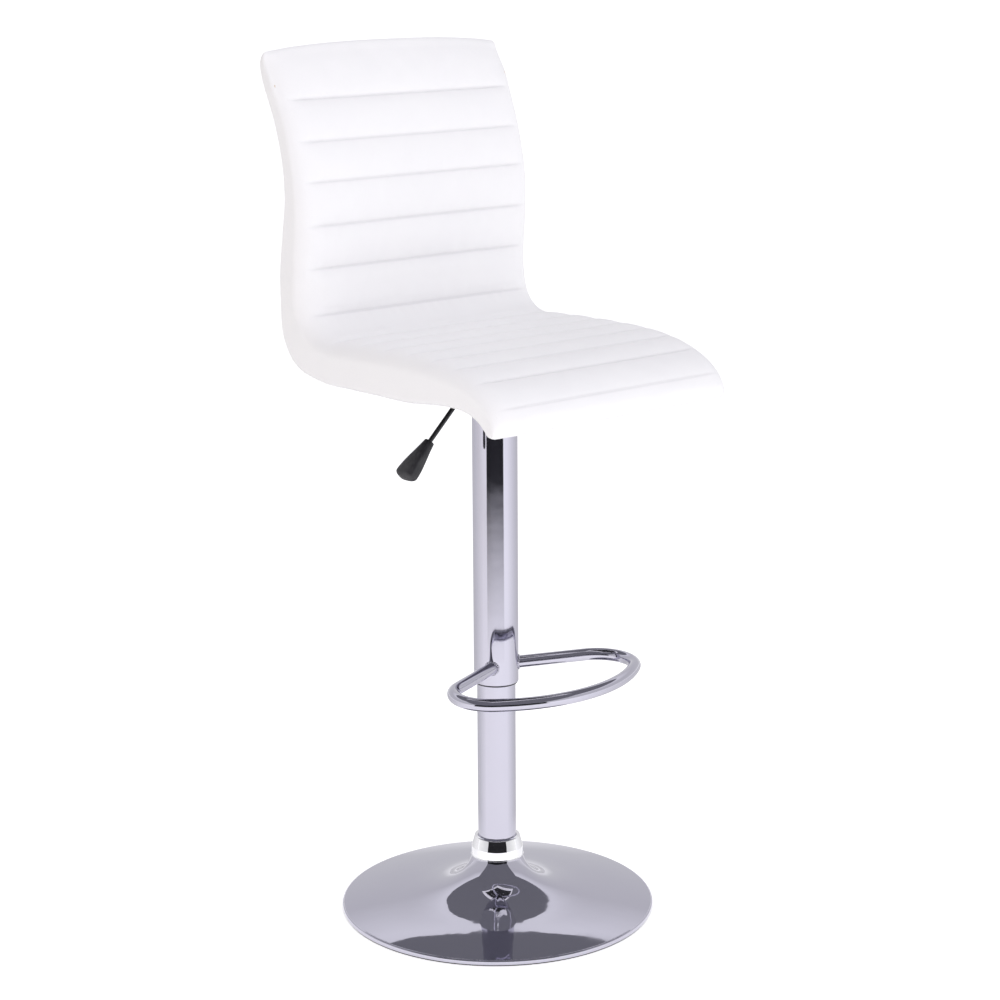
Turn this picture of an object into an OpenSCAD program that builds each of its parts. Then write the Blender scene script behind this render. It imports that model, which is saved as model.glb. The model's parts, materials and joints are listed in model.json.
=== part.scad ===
// Gas-lift swivel stool: spun base, telescopic column, footrest and a one-piece padded seat and back.
// Millimetres, +Z up. The origin is on the column's axis, on the floor. The sitter faces -Y.

/* [Seat] */
// Width of the seat and back
seat_w = 380; // [340:5:420]
// Height of the seat's flat underside with the column fully raised
seat_under_z = 708; // [704:1:740]
// Thickness of the leather cover
cover_t = 1.5; // [1:0.1:2]
// Thickness of the bent plywood board
board_t = 12; // [9:0.5:13]
// Thickness of the foam between the board and the rear cover
rear_foam_t = 6; // [4:0.5:7]
// Distance of each seat bolt from the column's axis, along X and along Y
bolt_xy = 60; // [50:1:66]

/* [Column] */
// Outer diameter of the fixed lower column
column_d = 50; // [48:0.5:52]
// Wall of the lower column
column_wall = 2; // [1.5:0.1:2.5]
// Height of the lower column's top edge
column_top_z = 430; // [400:5:440]
// Outer diameter of the upper sleeve
sleeve_d = 58; // [56:0.5:60]
// Wall of the upper sleeve
sleeve_wall = 2; // [1.5:0.1:2]
// Height of the sleeve's lower edge with the column fully raised
sleeve_low_z = 309; // [305:1:320]
// Outer diameter of the gas cylinder
cylinder_d = 28; // [27:0.5:28]
// Diameter of the piston rod
rod_d = 10; // [9:0.5:10]

/* [Footrest] */
// Height of the footrest tube's centreline
rest_z = 333; // [330:1:360]
// Diameter of the footrest tube
rest_tube_d = 16; // [14:0.5:18]
// Width of the footrest between the centrelines of its sides
rest_w = 275; // [250:1:290]
// Distance from the column's axis to the front of the footrest's centreline
rest_reach = 174.5; // [170:0.5:200]
// Bend radius of the footrest's long front curve
rest_front_r = 195; // [180:1:210]
// Bend radius of the footrest's two corners
rest_corner_r = 48; // [40:1:52]
// Angle by which each arm runs forward of sideways
rest_arm_angle = 22; // [18:1:26]

/* [Base] */
// Diameter of the base
base_d = 410; // [390:5:430]
// Wall of the spun base shell
shell_t = 1.5; // [1.2:0.1:2]
// Height of the base's neck, under the foot collar
neck_z = 76; // [76:1:80]
// Outer radius of the base's neck
neck_r = 33; // [32.6:0.1:33]

/* [Lever] */
// Diameter of the lever's rod
lever_rod_d = 6; // [5:0.5:6]
// Angle of the lever's outer part below horizontal
lever_drop = 44; // [35:1:50]
// Length of the bare rod between its bend and the grip
lever_reach = 79; // [70:1:90]
// Length of the lever's grip
grip_length = 58; // [50:1:65]
// Largest width of the grip
grip_w = 31; // [26:1:34]

/* [Hidden] */
$fn = 64;

sliding_gap = 0.3;  // between the sleeve's bush and the column
running_gap = 0.05; // of a running fit, on the radius

column_r = column_d / 2;
column_bore_r = column_r - column_wall;
sleeve_r = sleeve_d / 2;
sleeve_bore_r = sleeve_r - sleeve_wall;
cylinder_r = cylinder_d / 2;
rod_r = rod_d / 2;

// Stack of pieces at the foot of the column, from the floor up
floor_ring_h = 4;
floor_ring_w = 8;
rim_low_z = 1.5;
rim_high_z = 8;
ballast_low_z = 3;
ballast_t = 5;
ballast_r = 150;
socket_low_z = ballast_low_z + ballast_t;
socket_top_z = 62;
socket_r = 30;
socket_flange_r = 58;
socket_flange_t = 5;
column_low_z = socket_low_z + socket_flange_t;
end_plate_z = 40;
end_plate_t = 6;
race_low_z = end_plate_z + end_plate_t;
race_t = 3;
ball_r = 2.45;
ball_gap = 0.05;
ball_z = race_low_z + race_t + ball_gap + ball_r;
ball_circle_r = 9;
ball_count = 10;
cage_t = 2.6;
race_high_z = ball_z + ball_r + ball_gap;
race_r = 13;
rod_tip_r = 4;
rod_shoulder_z = race_high_z + race_t;
rod_low_z = 32;
clip_z = 35.5;
clip_t = 1.5;
clip_groove_r = 3.5;
washer_z = clip_z + clip_t;

// Gas spring, with the column fully raised
stroke = 200;
cylinder_low_z = 290;
cylinder_top_z = seat_under_z - 20;
cylinder_wall = 1.5;
cylinder_bore_r = cylinder_r - cylinder_wall;
end_guide_t = 16;
rod_seal_low_z = cylinder_low_z + end_guide_t - 4;
piston_z = cylinder_low_z + end_guide_t + 2;
piston_t = 14;
taper_h = 33;
taper_shrink = 0.8;
valve_r = 3.95;
valve_hole_r = valve_r + running_gap;
valve_hole_depth = 18;
valve_head_z = seat_under_z - 16.3;
buffer_top_z = cylinder_low_z - stroke - 0.5;

// Bracket and lever under the seat
plate_t = 3;
plate_half = 75;
plate_corner_r = 12;
bracket_x = 70;
bracket_y = 60;
bracket_wall = 2.5;
bracket_top_z = seat_under_z - plate_t;
bracket_low_z = bracket_top_z - 33;
taper_socket_r = 17;
taper_socket_low_z = bracket_low_z - 16;
taper_socket_top_z = cylinder_top_z + 1.5;
cap_t = 4;
cap_plug_h = 8;
lever_z = seat_under_z - 13;
pivot_x = -28;
pivot_pin_r = 2;
lever_boss_r = 5.5;
lever_boss_w = 9;
lever_inner_x = 2;
lever_bend_x = -50;
lever_slot_half = 6;
grip_thickness = 20;
grip_rod_depth = 34;

// Fasteners
bolt_r = 3;
bolt_head_r = 5.8;
bolt_head_h = 4;
washer_r = 7;
washer_t = 1.2;
bolt_clearance_r = 3.5;
nut_barrel_r = 4.2;
nut_flange_r = 9;
nut_flange_t = 1.4;
socket_bolt_circle_r = 46;

// Point on a centripetal Catmull-Rom curve through four guides, between b and c
function blend(p, q, tp, tq, t) = ((tq - t) * p + (t - tp) * q) / (tq - tp);
function curve_point(a, b, c, d, s) =
    let (tb = sqrt(norm(b - a)), tc = tb + sqrt(norm(c - b)), td = tc + sqrt(norm(d - c)))
    let (t = tb + s * (tc - tb))
    let (ab = blend(a, b, 0, tb, t), bc = blend(b, c, tb, tc, t), cd = blend(c, d, tc, td, t))
    blend(blend(ab, bc, 0, tc, t), blend(bc, cd, tb, td, t), tb, tc, t);

// Smooth curve through guides[1] to the last but one; the end guides only steer it
function smooth(guides, steps) = [
    for (i = [1 : len(guides) - 3], s = [0 : steps - 1])
        curve_point(guides[i - 1], guides[i], guides[i + 1], guides[i + 2], s / steps)
];

// A closed outline, moved inwards by d. The outline runs anticlockwise.
function inset(p, d) = [
    for (i = [0 : len(p) - 1])
        let (run = p[(i + 1) % len(p)] - p[(i + len(p) - 1) % len(p)])
        p[i] + d * [-run[1], run[0]] / norm(run)
];

// Points of a closed outline from index a to index b, going round past its end if b needs it
function stretch(p, a, b) = [for (i = [a : b]) p[i % len(p)]];

// Point of an outline turned the other way round
function reversed(p) = [for (i = [len(p) - 1 : -1 : 0]) p[i]];

// Side profile of the seat: [y, height above the flat underside].
// From the top of the back down its face, along the seat and round the front lip.
FACE = [
    [225, 404], [216, 412], [206, 401], [183, 360], [165, 317], [151, 272], [142, 227], [141, 177],
    [144, 137], [143, 102], [136, 77], [118, 61], [92, 56], [0, 58], [-60, 58], [-110, 56],
    [-150, 50], [-190, 35], [-215, 17], [-227, -2], [-224, -17], [-213, -23], [-202, -17],
    [-188, -5], [-170, 3], [-148, 6], [-120, 6], [-95, 3], [-75, 0], [-60, 0]
];
// From the flat underside round the rear bend and up the back of the back
REAR = [
    [60, 0], [75, 0], [122, 1], [153, 9], [177, 25], [190, 48], [194, 75], [195, 115], [190, 165],
    [183, 205], [180, 240], [185, 275], [197, 315], [212, 357], [225, 397], [224, 408], [216, 412],
    [206, 401]
];
steps = 4;
outline = concat(smooth(FACE, steps), [[-75, 0]], smooth(REAR, steps));
lip_seam = steps * 20;   // index of the lip's lowest point, where front and rear covers meet
board_front = steps * 23;
board_back = len(outline) - steps * 3;

module along_x(width) {
    rotate([90, 0, 90]) linear_extrude(height = width, center = true) children();
}

module seat_profile(width, points) {
    translate([0, 0, seat_under_z]) along_x(width) polygon(points);
}

inner_w = seat_w - 2 * cover_t;
foam_outline = inset(outline, cover_t);
board_outline = concat(
    stretch(inset(outline, cover_t + rear_foam_t), board_front, board_back),
    reversed(stretch(inset(outline, cover_t + rear_foam_t + board_t), board_front, board_back))
);
board_low_z = seat_under_z + cover_t + rear_foam_t;
board_top_z = board_low_z + board_t;

module ring(outer_r, inner_r, z_low, z_high) {
    difference() {
        translate([0, 0, z_low]) cylinder(r = outer_r, h = z_high - z_low);
        translate([0, 0, z_low - 1]) cylinder(r = inner_r, h = z_high - z_low + 2);
    }
}

module rod_between(radius, z_low, z_high) {
    translate([0, 0, z_low]) cylinder(r = radius, h = z_high - z_low);
}

module at_seat_bolts() {
    for (x = [-bolt_xy, bolt_xy], y = [-bolt_xy, bolt_xy]) translate([x, y, 0]) children();
}

module at_socket_bolts() {
    for (a = [45 : 90 : 315])
        rotate([0, 0, a]) translate([socket_bolt_circle_r, 0, 0]) children();
}

// ---- Base ----

module floor_ring() {
    color("#1b1b1d") ring(base_d / 2 - shell_t, base_d / 2 - shell_t - floor_ring_w, 0, floor_ring_h);
}

// Upper face of the shell: a trumpet curve from the neck to the rim
function shell_curve(t) =
    let (a = [neck_r, neck_z], b = [neck_r + 4, 27], c = [92, 24], d = [base_d / 2 - 1.5, rim_high_z])
    pow(1 - t, 3) * a + 3 * pow(1 - t, 2) * t * b + 3 * (1 - t) * t * t * c + pow(t, 3) * d;

module base_shell() {
    count = 24;
    top = [for (i = [0 : count]) shell_curve(i / count)];
    under = [
        for (i = [0 : count])
            let (run = shell_curve(min(1, i / count + 0.01)) - shell_curve(max(0, i / count - 0.01)))
            top[i] + shell_t * [run[1], -run[0]] / norm(run)
    ];
    rim_r = base_d / 2;
    rim = [
        [rim_r - 0.4, rim_high_z - 0.5], [rim_r, rim_high_z - 1.6], [rim_r, rim_low_z],
        [rim_r - shell_t, rim_low_z], [rim_r - shell_t, floor_ring_h]
    ];
    color("#d5d5dd") rotate_extrude() polygon(concat(top, rim, reversed(under)));
}

module ballast_disc() {
    color("#3a3a3c") difference() {
        ring(ballast_r, socket_r + 1, ballast_low_z, socket_low_z);
        at_socket_bolts() translate([0, 0, ballast_low_z - 1]) cylinder(r = bolt_r, h = ballast_t + 2);
    }
}

module column_socket() {
    color("#8d8f93") difference() {
        union() {
            rod_between(socket_flange_r, socket_low_z, column_low_z);
            rod_between(socket_r, column_low_z - 1, socket_top_z);
        }
        rod_between(column_bore_r, socket_low_z - 1, column_low_z);
        rod_between(column_r, column_low_z, socket_top_z + 1);
        at_socket_bolts() translate([0, 0, socket_low_z - 1]) cylinder(r = bolt_r, h = socket_flange_t + 2);
    }
}

module socket_bolts() {
    color("#75777a") at_socket_bolts() {
        rod_between(bolt_r, ballast_low_z + 0.5, column_low_z);
        rod_between(bolt_head_r, column_low_z, column_low_z + bolt_head_h, $fn = 6);
    }
}

module foot_collar() {
    bore = column_r + 0.1;
    skirt = neck_r + 0.8;
    color("#e3e3e8") rotate_extrude() polygon(concat(
        [[bore, 97], [26.8, 97.4]],
        [for (a = [70 : -10 : 10]) [25.5 + 9 * cos(a), 87 + 9.4 * sin(a)]],
        [[34.8, 84], [35.2, 78], [36.6, 72.5], [36.4, 70.5], [skirt, 70], [skirt, neck_z + 0.5], [bore, 81]]
    ));
}

module lower_column() {
    color("#cfcfd8") ring(column_r, column_bore_r, column_low_z, column_top_z);
}

module column_end_plate() {
    color("#75777a") ring(column_bore_r, rod_tip_r + running_gap, end_plate_z, race_low_z);
}

module column_guide_bush() {
    color("#e8e6df") union() {
        ring(column_bore_r, cylinder_r + running_gap, column_top_z - 80, column_top_z);
        ring(column_r, cylinder_r + running_gap, column_top_z, column_top_z + 4);
    }
}

module bearing_lower_race() {
    color("#a9abb0") ring(race_r, rod_tip_r + 0.6, race_low_z, race_low_z + race_t);
}

// ---- Thrust bearing ----

module at_balls() {
    for (a = [0 : 360 / ball_count : 359])
        rotate([0, 0, a]) translate([ball_circle_r, 0, ball_z]) children();
}

module bearing_ball_cage() {
    color("#c49a45") difference() {
        ring(race_r - 0.6, rod_tip_r + 0.8, ball_z - cage_t / 2, ball_z + cage_t / 2);
        at_balls() translate([0, 0, -cage_t]) cylinder(r = ball_r + 0.15, h = 2 * cage_t);
    }
}

module bearing_balls() {
    color("#d8d8dc") at_balls() sphere(r = ball_r);
}

// ---- Spindle ----

module piston_rod() {
    color("#b9bbc0") difference() {
        union() {
            rod_between(rod_tip_r, rod_low_z, rod_shoulder_z + 1);
            rod_between(rod_r, rod_shoulder_z, piston_z + piston_t + 3);
        }
        ring(rod_tip_r + 1, clip_groove_r, clip_z, clip_z + clip_t);
    }
}

module piston() {
    color("#8d8f93") difference() {
        ring(cylinder_bore_r - running_gap, rod_r, piston_z, piston_z + piston_t);
        ring(cylinder_bore_r + 1, cylinder_bore_r - 2, piston_z + 5, piston_z + 9);
    }
}

module piston_seal() {
    color("#1b1b1d") ring(cylinder_bore_r - running_gap, cylinder_bore_r - 2, piston_z + 5, piston_z + 9);
}

module bearing_upper_race() {
    color("#a9abb0") ring(race_r, rod_tip_r, race_high_z, rod_shoulder_z);
}

module rod_washer() {
    color("#a9abb0") ring(10, rod_tip_r, washer_z, end_plate_z - 0.4);
}

module rod_retaining_clip() {
    color("#3a3a3c") difference() {
        ring(7, clip_groove_r, clip_z, washer_z);
        translate([0, -2, clip_z - 1]) cube([10, 4, clip_t + 2]);
    }
}

module rubber_buffer() {
    color("#1b1b1d") ring(race_r, rod_r, rod_shoulder_z, buffer_top_z);
}

// ---- Gas cylinder and sleeve ----

module gas_cylinder() {
    taper_z = cylinder_top_z - taper_h;
    color("#2a2a2d") difference() {
        union() {
            rod_between(cylinder_r, cylinder_low_z, taper_z);
            translate([0, 0, taper_z]) cylinder(r1 = cylinder_r, r2 = cylinder_r - taper_shrink, h = taper_h);
        }
        rod_between(cylinder_bore_r, cylinder_low_z - 1, taper_z + 4);
        rod_between(valve_hole_r, cylinder_top_z - valve_hole_depth, cylinder_top_z + 1);
    }
}

module cylinder_end_guide() {
    color("#8d8f93") ring(cylinder_bore_r, rod_r + running_gap, cylinder_low_z, rod_seal_low_z);
}

module cylinder_rod_seal() {
    color("#1b1b1d") ring(cylinder_bore_r, rod_r + running_gap, rod_seal_low_z, cylinder_low_z + end_guide_t);
}

module upper_sleeve() {
    color("#c6c6d0") ring(sleeve_r, sleeve_bore_r, sleeve_low_z, bracket_low_z - cap_t);
}

module sleeve_bush() {
    bore = column_r + sliding_gap;
    color("#1b1b1d") union() {
        ring(sleeve_bore_r, bore, sleeve_low_z, sleeve_low_z + 18);
        ring(sleeve_r - 0.6, bore, sleeve_low_z - 2, sleeve_low_z);
    }
}

module sleeve_cap() {
    color("#1b1b1d") union() {
        ring(sleeve_r, taper_socket_r, bracket_low_z - cap_t, bracket_low_z);
        ring(sleeve_bore_r, taper_socket_r, bracket_low_z - cap_t - cap_plug_h, bracket_low_z - cap_t);
    }
}

// The footrest's centreline: two arms, two corners and a front curve, each tangent to the next
function arc(centre, r, from, to, count) = [
    for (i = [0 : count])
        let (a = from + (to - from) * i / count)
        centre + r * [cos(a), sin(a)]
];

function footrest_path() =
    let (front_centre = [0, rest_front_r - rest_reach])
    let (corner_x = rest_w / 2 - rest_corner_r, corner_run = rest_front_r - rest_corner_r)
    let (corner_centre = [corner_x, front_centre[1] - sqrt(corner_run * corner_run - corner_x * corner_x)])
    let (front_half = asin(corner_x / corner_run))
    let (corner = arc(corner_centre, rest_corner_r, 90 - rest_arm_angle, front_half - 90, 14))
    let (front = arc(front_centre, rest_front_r, front_half - 90, -90 - front_half, 20))
    let (arm_run = (corner[0][0] - sleeve_r / 2) / cos(rest_arm_angle))
    let (side = concat([corner[0] + arm_run * [-cos(rest_arm_angle), sin(rest_arm_angle)]], corner))
    concat(side, [for (i = [1 : len(front) - 2]) front[i]], [for (p = reversed(side)) [-p[0], p[1]]]);

// A round tube along a flat path
module flat_path_tube(path, r, sides) {
    count = len(path);
    points = [
        for (i = [0 : count - 1])
            let (run = path[min(i + 1, count - 1)] - path[max(i - 1, 0)])
            let (across = [run[1], -run[0]] / norm(run))
            for (k = [0 : sides - 1])
                let (a = 360 * k / sides)
                [path[i][0] + r * cos(a) * across[0], path[i][1] + r * cos(a) * across[1], r * sin(a)]
    ];
    walls = [
        for (i = [0 : count - 2], k = [0 : sides - 1])
            let (n = (k + 1) % sides, low = i * sides, high = low + sides)
            [low + k, high + k, high + n, low + n]
    ];
    first_cap = [for (k = [0 : sides - 1]) k];
    last_cap = [for (k = [sides - 1 : -1 : 0]) (count - 1) * sides + k];
    polyhedron(points, concat(walls, [first_cap, last_cap]));
}

module footrest_ring() {
    color("#d5d5dd") difference() {
        translate([0, 0, rest_z]) flat_path_tube(footrest_path(), rest_tube_d / 2, 16);
        rod_between(sleeve_r, rest_z - rest_tube_d, rest_z + rest_tube_d);
    }
}

// ---- Bracket under the seat ----

module taper_socket() {
    low_r = cylinder_r + 0.05;
    taper_low_z = cylinder_top_z - taper_h;
    color("#8d8f93") difference() {
        rod_between(taper_socket_r, taper_socket_low_z, taper_socket_top_z);
        translate([0, 0, taper_low_z]) cylinder(r1 = low_r, r2 = low_r - taper_shrink, h = taper_h);
        rod_between(low_r - taper_shrink, cylinder_top_z - 1, taper_socket_top_z + 1);
    }
}

module lift_bracket() {
    slot_low_z = lever_z - lever_slot_half;
    color("#2a2a2d") difference() {
        translate([-bracket_x / 2, -bracket_y / 2, bracket_low_z])
            cube([bracket_x, bracket_y, bracket_top_z - bracket_low_z]);
        translate([bracket_wall - bracket_x / 2, bracket_wall - bracket_y / 2, bracket_low_z + bracket_wall])
            cube([bracket_x - 2 * bracket_wall, bracket_y - 2 * bracket_wall, bracket_top_z]);
        rod_between(taper_socket_r, bracket_low_z - 1, bracket_low_z + bracket_wall + 1);
        translate([-bracket_x / 2 - 1, -lever_slot_half, slot_low_z])
            cube([bracket_wall + 2, 2 * lever_slot_half, 2 * lever_slot_half]);
        translate([pivot_x, 0, lever_z]) rotate([90, 0, 0])
            cylinder(r = pivot_pin_r, h = bracket_y + 2, center = true);
    }
}

module seat_plate() {
    straight = 2 * (plate_half - plate_corner_r);
    color("#2a2a2d") translate([0, 0, bracket_top_z]) difference() {
        linear_extrude(height = plate_t) union() {
            square([straight, 2 * plate_half], center = true);
            square([2 * plate_half, straight], center = true);
            for (x = [-1, 1], y = [-1, 1])
                translate([x, y] * (plate_half - plate_corner_r)) circle(r = plate_corner_r);
        }
        at_seat_bolts() translate([0, 0, -1]) cylinder(r = bolt_clearance_r, h = plate_t + 2);
    }
}

module lever_pivot_pin() {
    color("#a9abb0") translate([pivot_x, 0, lever_z]) rotate([90, 0, 0])
        cylinder(r = pivot_pin_r, h = bracket_y, center = true);
}

module bolt_washers() {
    color("#a9abb0") at_seat_bolts() ring(washer_r, bolt_r, bracket_top_z - washer_t, bracket_top_z);
}

module seat_bolts() {
    head_top_z = bracket_top_z - washer_t;
    color("#75777a") at_seat_bolts() {
        rod_between(bolt_head_r, head_top_z - bolt_head_h, head_top_z, $fn = 6);
        rod_between(bolt_r, head_top_z, board_top_z + nut_flange_t);
    }
}

module tee_nuts() {
    color("#a9abb0") at_seat_bolts() {
        ring(nut_barrel_r, bolt_r, board_low_z, board_top_z);
        ring(nut_flange_r, bolt_r, board_top_z, board_top_z + nut_flange_t);
    }
}

// ---- Seat ----

module seat_board() {
    color("#c89f6b") difference() {
        seat_profile(inner_w, board_outline);
        at_seat_bolts() rod_between(nut_barrel_r, board_low_z - 1, board_top_z + 1);
    }
}

module seat_foam() {
    color("#efe3b8") difference() {
        translate([0, 0, seat_under_z]) along_x(inner_w) difference() {
            polygon(foam_outline);
            polygon(board_outline);
        }
        at_seat_bolts() {
            rod_between(bolt_clearance_r, seat_under_z, board_low_z + 1);
            rod_between(nut_flange_r, board_top_z - 1, board_top_z + nut_flange_t);
        }
    }
}

module cover_band(from, to) {
    seat_profile(inner_w, concat(stretch(outline, from, to), reversed(stretch(foam_outline, from, to))));
}

module front_cover() {
    color("#f6f5f7") cover_band(0, lip_seam);
}

module rear_cover() {
    color("#f0eef0") difference() {
        cover_band(lip_seam, len(outline));
        at_seat_bolts() rod_between(bolt_clearance_r, seat_under_z - 1, seat_under_z + cover_t + 1);
    }
}

module side_panels() {
    color("#f3f1f3") for (side = [-1, 1])
        translate([side * (seat_w - cover_t) / 2, 0, 0]) seat_profile(cover_t, outline);
}

// ---- Lever and valve ----

module lever_rod() {
    rod = lever_rod_d / 2;
    color("#141416") difference() {
        union() {
            translate([lever_inner_x, 0, lever_z]) rotate([0, -90, 0])
                cylinder(r = rod, h = lever_inner_x - lever_bend_x);
            translate([lever_bend_x, 0, lever_z]) sphere(r = rod);
            translate([lever_bend_x, 0, lever_z]) rotate([0, -90 - lever_drop, 0])
                cylinder(r = rod, h = lever_reach + grip_rod_depth);
            translate([pivot_x, 0, lever_z]) rotate([90, 0, 0])
                cylinder(r = lever_boss_r, h = lever_boss_w, center = true);
        }
        translate([pivot_x, 0, lever_z]) rotate([90, 0, 0])
            cylinder(r = pivot_pin_r + running_gap, h = lever_boss_w + 2, center = true);
    }
}

// A tapered round grip with its two broad faces pressed flat
module lever_grip() {
    end_r = grip_w / 2;
    neck = 7.5;
    profile = concat(
        [[lever_rod_d / 2, 0], [neck - 1.5, 0], [neck, 1.5], [end_r - 0.6, grip_length - 14]],
        [for (a = [0 : 15 : 75]) [end_r - 7 + 7 * cos(a), grip_length - 8 + 8 * sin(a)]],
        [[0, grip_length], [0, grip_rod_depth], [lever_rod_d / 2, grip_rod_depth]]
    );
    color("#202024") translate([lever_bend_x, 0, lever_z]) rotate([0, -90 - lever_drop, 0])
        translate([0, 0, lever_reach]) intersection() {
            rotate_extrude() polygon(profile);
            translate([0, 0, grip_length / 2])
                cube([grip_thickness, 2 * grip_w, 2 * grip_length], center = true);
        }
}

module valve_pin() {
    valve_low_z = cylinder_top_z - valve_hole_depth + 6;
    color("#d8d8dc") rod_between(valve_r, valve_low_z, valve_head_z);
}

floor_ring();
base_shell();
ballast_disc();
column_socket();
socket_bolts();
foot_collar();
lower_column();
column_end_plate();
column_guide_bush();
bearing_lower_race();
bearing_ball_cage();
bearing_balls();
piston_rod();
piston();
piston_seal();
bearing_upper_race();
rod_washer();
rod_retaining_clip();
rubber_buffer();
gas_cylinder();
cylinder_end_guide();
cylinder_rod_seal();
upper_sleeve();
sleeve_bush();
sleeve_cap();
footrest_ring();
taper_socket();
lift_bracket();
seat_plate();
lever_pivot_pin();
bolt_washers();
seat_bolts();
tee_nuts();
seat_board();
seat_foam();
front_cover();
rear_cover();
side_panels();
lever_rod();
lever_grip();
valve_pin();
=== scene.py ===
# %% [markdown]
# # A gas-lift bar stool
#
# The stool has a one-piece padded seat and back, a telescopic chromed column, a footrest and a spun base.
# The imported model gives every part's place and motion. This notebook gives the parts their looks.
# Each step says what the piece is on a real stool, how it could be made, and why it is made this way.

# %% Load the frame
import json
import math

import bmesh
import bpy
import numpy as np
from mathutils import Matrix, Vector


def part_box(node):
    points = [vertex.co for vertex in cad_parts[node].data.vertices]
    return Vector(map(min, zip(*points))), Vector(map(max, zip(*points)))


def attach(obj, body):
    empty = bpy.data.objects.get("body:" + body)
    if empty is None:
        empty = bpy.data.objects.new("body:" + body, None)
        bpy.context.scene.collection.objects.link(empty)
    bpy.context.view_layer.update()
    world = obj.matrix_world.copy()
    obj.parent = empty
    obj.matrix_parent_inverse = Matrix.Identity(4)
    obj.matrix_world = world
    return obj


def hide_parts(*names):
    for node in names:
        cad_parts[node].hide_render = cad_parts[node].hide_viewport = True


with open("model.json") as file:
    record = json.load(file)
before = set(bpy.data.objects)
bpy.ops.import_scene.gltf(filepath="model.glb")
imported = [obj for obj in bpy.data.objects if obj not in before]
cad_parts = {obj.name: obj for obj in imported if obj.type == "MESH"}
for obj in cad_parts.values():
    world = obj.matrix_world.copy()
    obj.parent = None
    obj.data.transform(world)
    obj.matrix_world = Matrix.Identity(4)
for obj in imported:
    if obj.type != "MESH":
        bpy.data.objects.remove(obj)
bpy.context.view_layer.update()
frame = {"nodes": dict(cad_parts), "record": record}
MM = 0.001

# %% [markdown]
# ## Surfaces from arrays
#
# Every new piece is a grid of points: rows run along the piece and columns run round it.
# A grid can be open or joined end to end in either direction. One function turns such a grid into quads,
# so that each piece below only has to say where its points are.

# %% Grids, meshes and pieces
rng = np.random.default_rng(7)


def grid_faces(rows, cols, join_rows=False, join_cols=True):
    """Quads between neighbours in a rows x cols grid; joining adds a strip from the last to the first."""
    r = np.arange(rows if join_rows else rows - 1)[:, None]
    c = np.arange(cols if join_cols else cols - 1)[None, :]
    next_r, next_c = (r + 1) % rows, (c + 1) % cols
    quads = [r * cols + c, r * cols + next_c, next_r * cols + next_c, next_r * cols + c]
    return np.stack(np.broadcast_arrays(*quads), -1).reshape(-1, 4)


def new_mesh(name, points, faces, marks=None, merge=True):
    """A smooth-shaded mesh object from arrays of points and faces; marks are values kept on its points.
    Points that coincide are merged, and the faces are turned outwards."""
    mesh = bpy.data.meshes.new(name)
    places = np.asarray(points, float).reshape(-1, 3).tolist()
    mesh.from_pydata(places, [], [list(map(int, f)) for f in faces])
    for key, values in (marks or {}).items():
        layer = mesh.attributes.new(key, "FLOAT", "POINT")
        layer.data.foreach_set("value", np.asarray(values, np.float32).ravel())
    if merge:
        work = bmesh.new()
        work.from_mesh(mesh)
        bmesh.ops.remove_doubles(work, verts=work.verts, dist=2e-6)
        bmesh.ops.recalc_face_normals(work, faces=work.faces)
        work.to_mesh(mesh)
        work.free()
    mesh.shade_smooth()
    piece = bpy.data.objects.new(name, mesh)
    bpy.context.scene.collection.objects.link(piece)
    return piece


def finish_piece(piece, body, finish, replaces=()):
    """Gives a piece its material, the body that it moves with and the CAD nodes that it stands for."""
    piece.data.materials.append(finish)
    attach(piece, body)
    if replaces:
        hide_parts(*replaces)
    print(piece.name, "has", len(piece.data.polygons), "faces and rides on", body)
    return piece


# %% [markdown]
# ## Turned and swept shapes
#
# Tubes, collars and the base are turned parts: a flat outline carried round the column's axis.
# Real metal never has a perfectly sharp edge, so an outline's corners are rounded first.
# A point is kept close to each end of a rounding, so that flat faces stay flat in the reflections.
# Bent tubes are swept: a circle carried along a path.

# %% Outlines, turned parts and swept tubes


def rounded(corners, radius, steps=6):
    """The closed outline through corners, each replaced by an arc; one radius for all, or one each."""
    corners = np.asarray(corners, float)
    radii = np.broadcast_to(radius, len(corners))
    out = []
    for here, before, after, r in zip(corners, np.roll(corners, 1, 0), np.roll(corners, -1, 0), radii):
        back, ahead = before - here, after - here
        back, ahead = back / np.linalg.norm(back), ahead / np.linalg.norm(ahead)
        half = math.acos(np.clip(back @ ahead, -1, 1)) / 2
        reach = r / math.tan(half)
        centre = here + (back + ahead) / np.linalg.norm(back + ahead) * r / math.sin(half)
        start, end = here + back * reach - centre, here + ahead * reach - centre
        turn = math.pi - 2 * half
        t = np.linspace(0, 1, steps + 1)[:, None]
        arc = (np.sin((1 - t) * turn) * start + np.sin(t * turn) * end) / math.sin(turn)
        keep = min(0.4 * r, 0.3 * MM)
        out += [here + back * (reach + keep), *(centre + arc), here + ahead * (reach + keep)]
    return np.array(out)


def bezier(a, b, c, d, count):
    """Points of the cubic curve from a to d that leaves a towards b and reaches d from c."""
    t = np.linspace(0, 1, count)[:, None]
    a, b, c, d = (np.asarray(p, float) for p in (a, b, c, d))
    return (1 - t) ** 3 * a + 3 * (1 - t) ** 2 * t * b + 3 * (1 - t) * t**2 * c + t**3 * d


def turned(name, outline, segments=160):
    """A closed outline of (radius, height) carried round the Z axis."""
    a = np.linspace(0, 2 * np.pi, segments, endpoint=False)[:, None]
    r, z = outline[:, 0], outline[:, 1]
    points = np.stack([r * np.cos(a), r * np.sin(a), np.broadcast_to(z, (segments, len(z)))], -1)
    return new_mesh(name, points, grid_faces(segments, len(outline), True, True))


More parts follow.
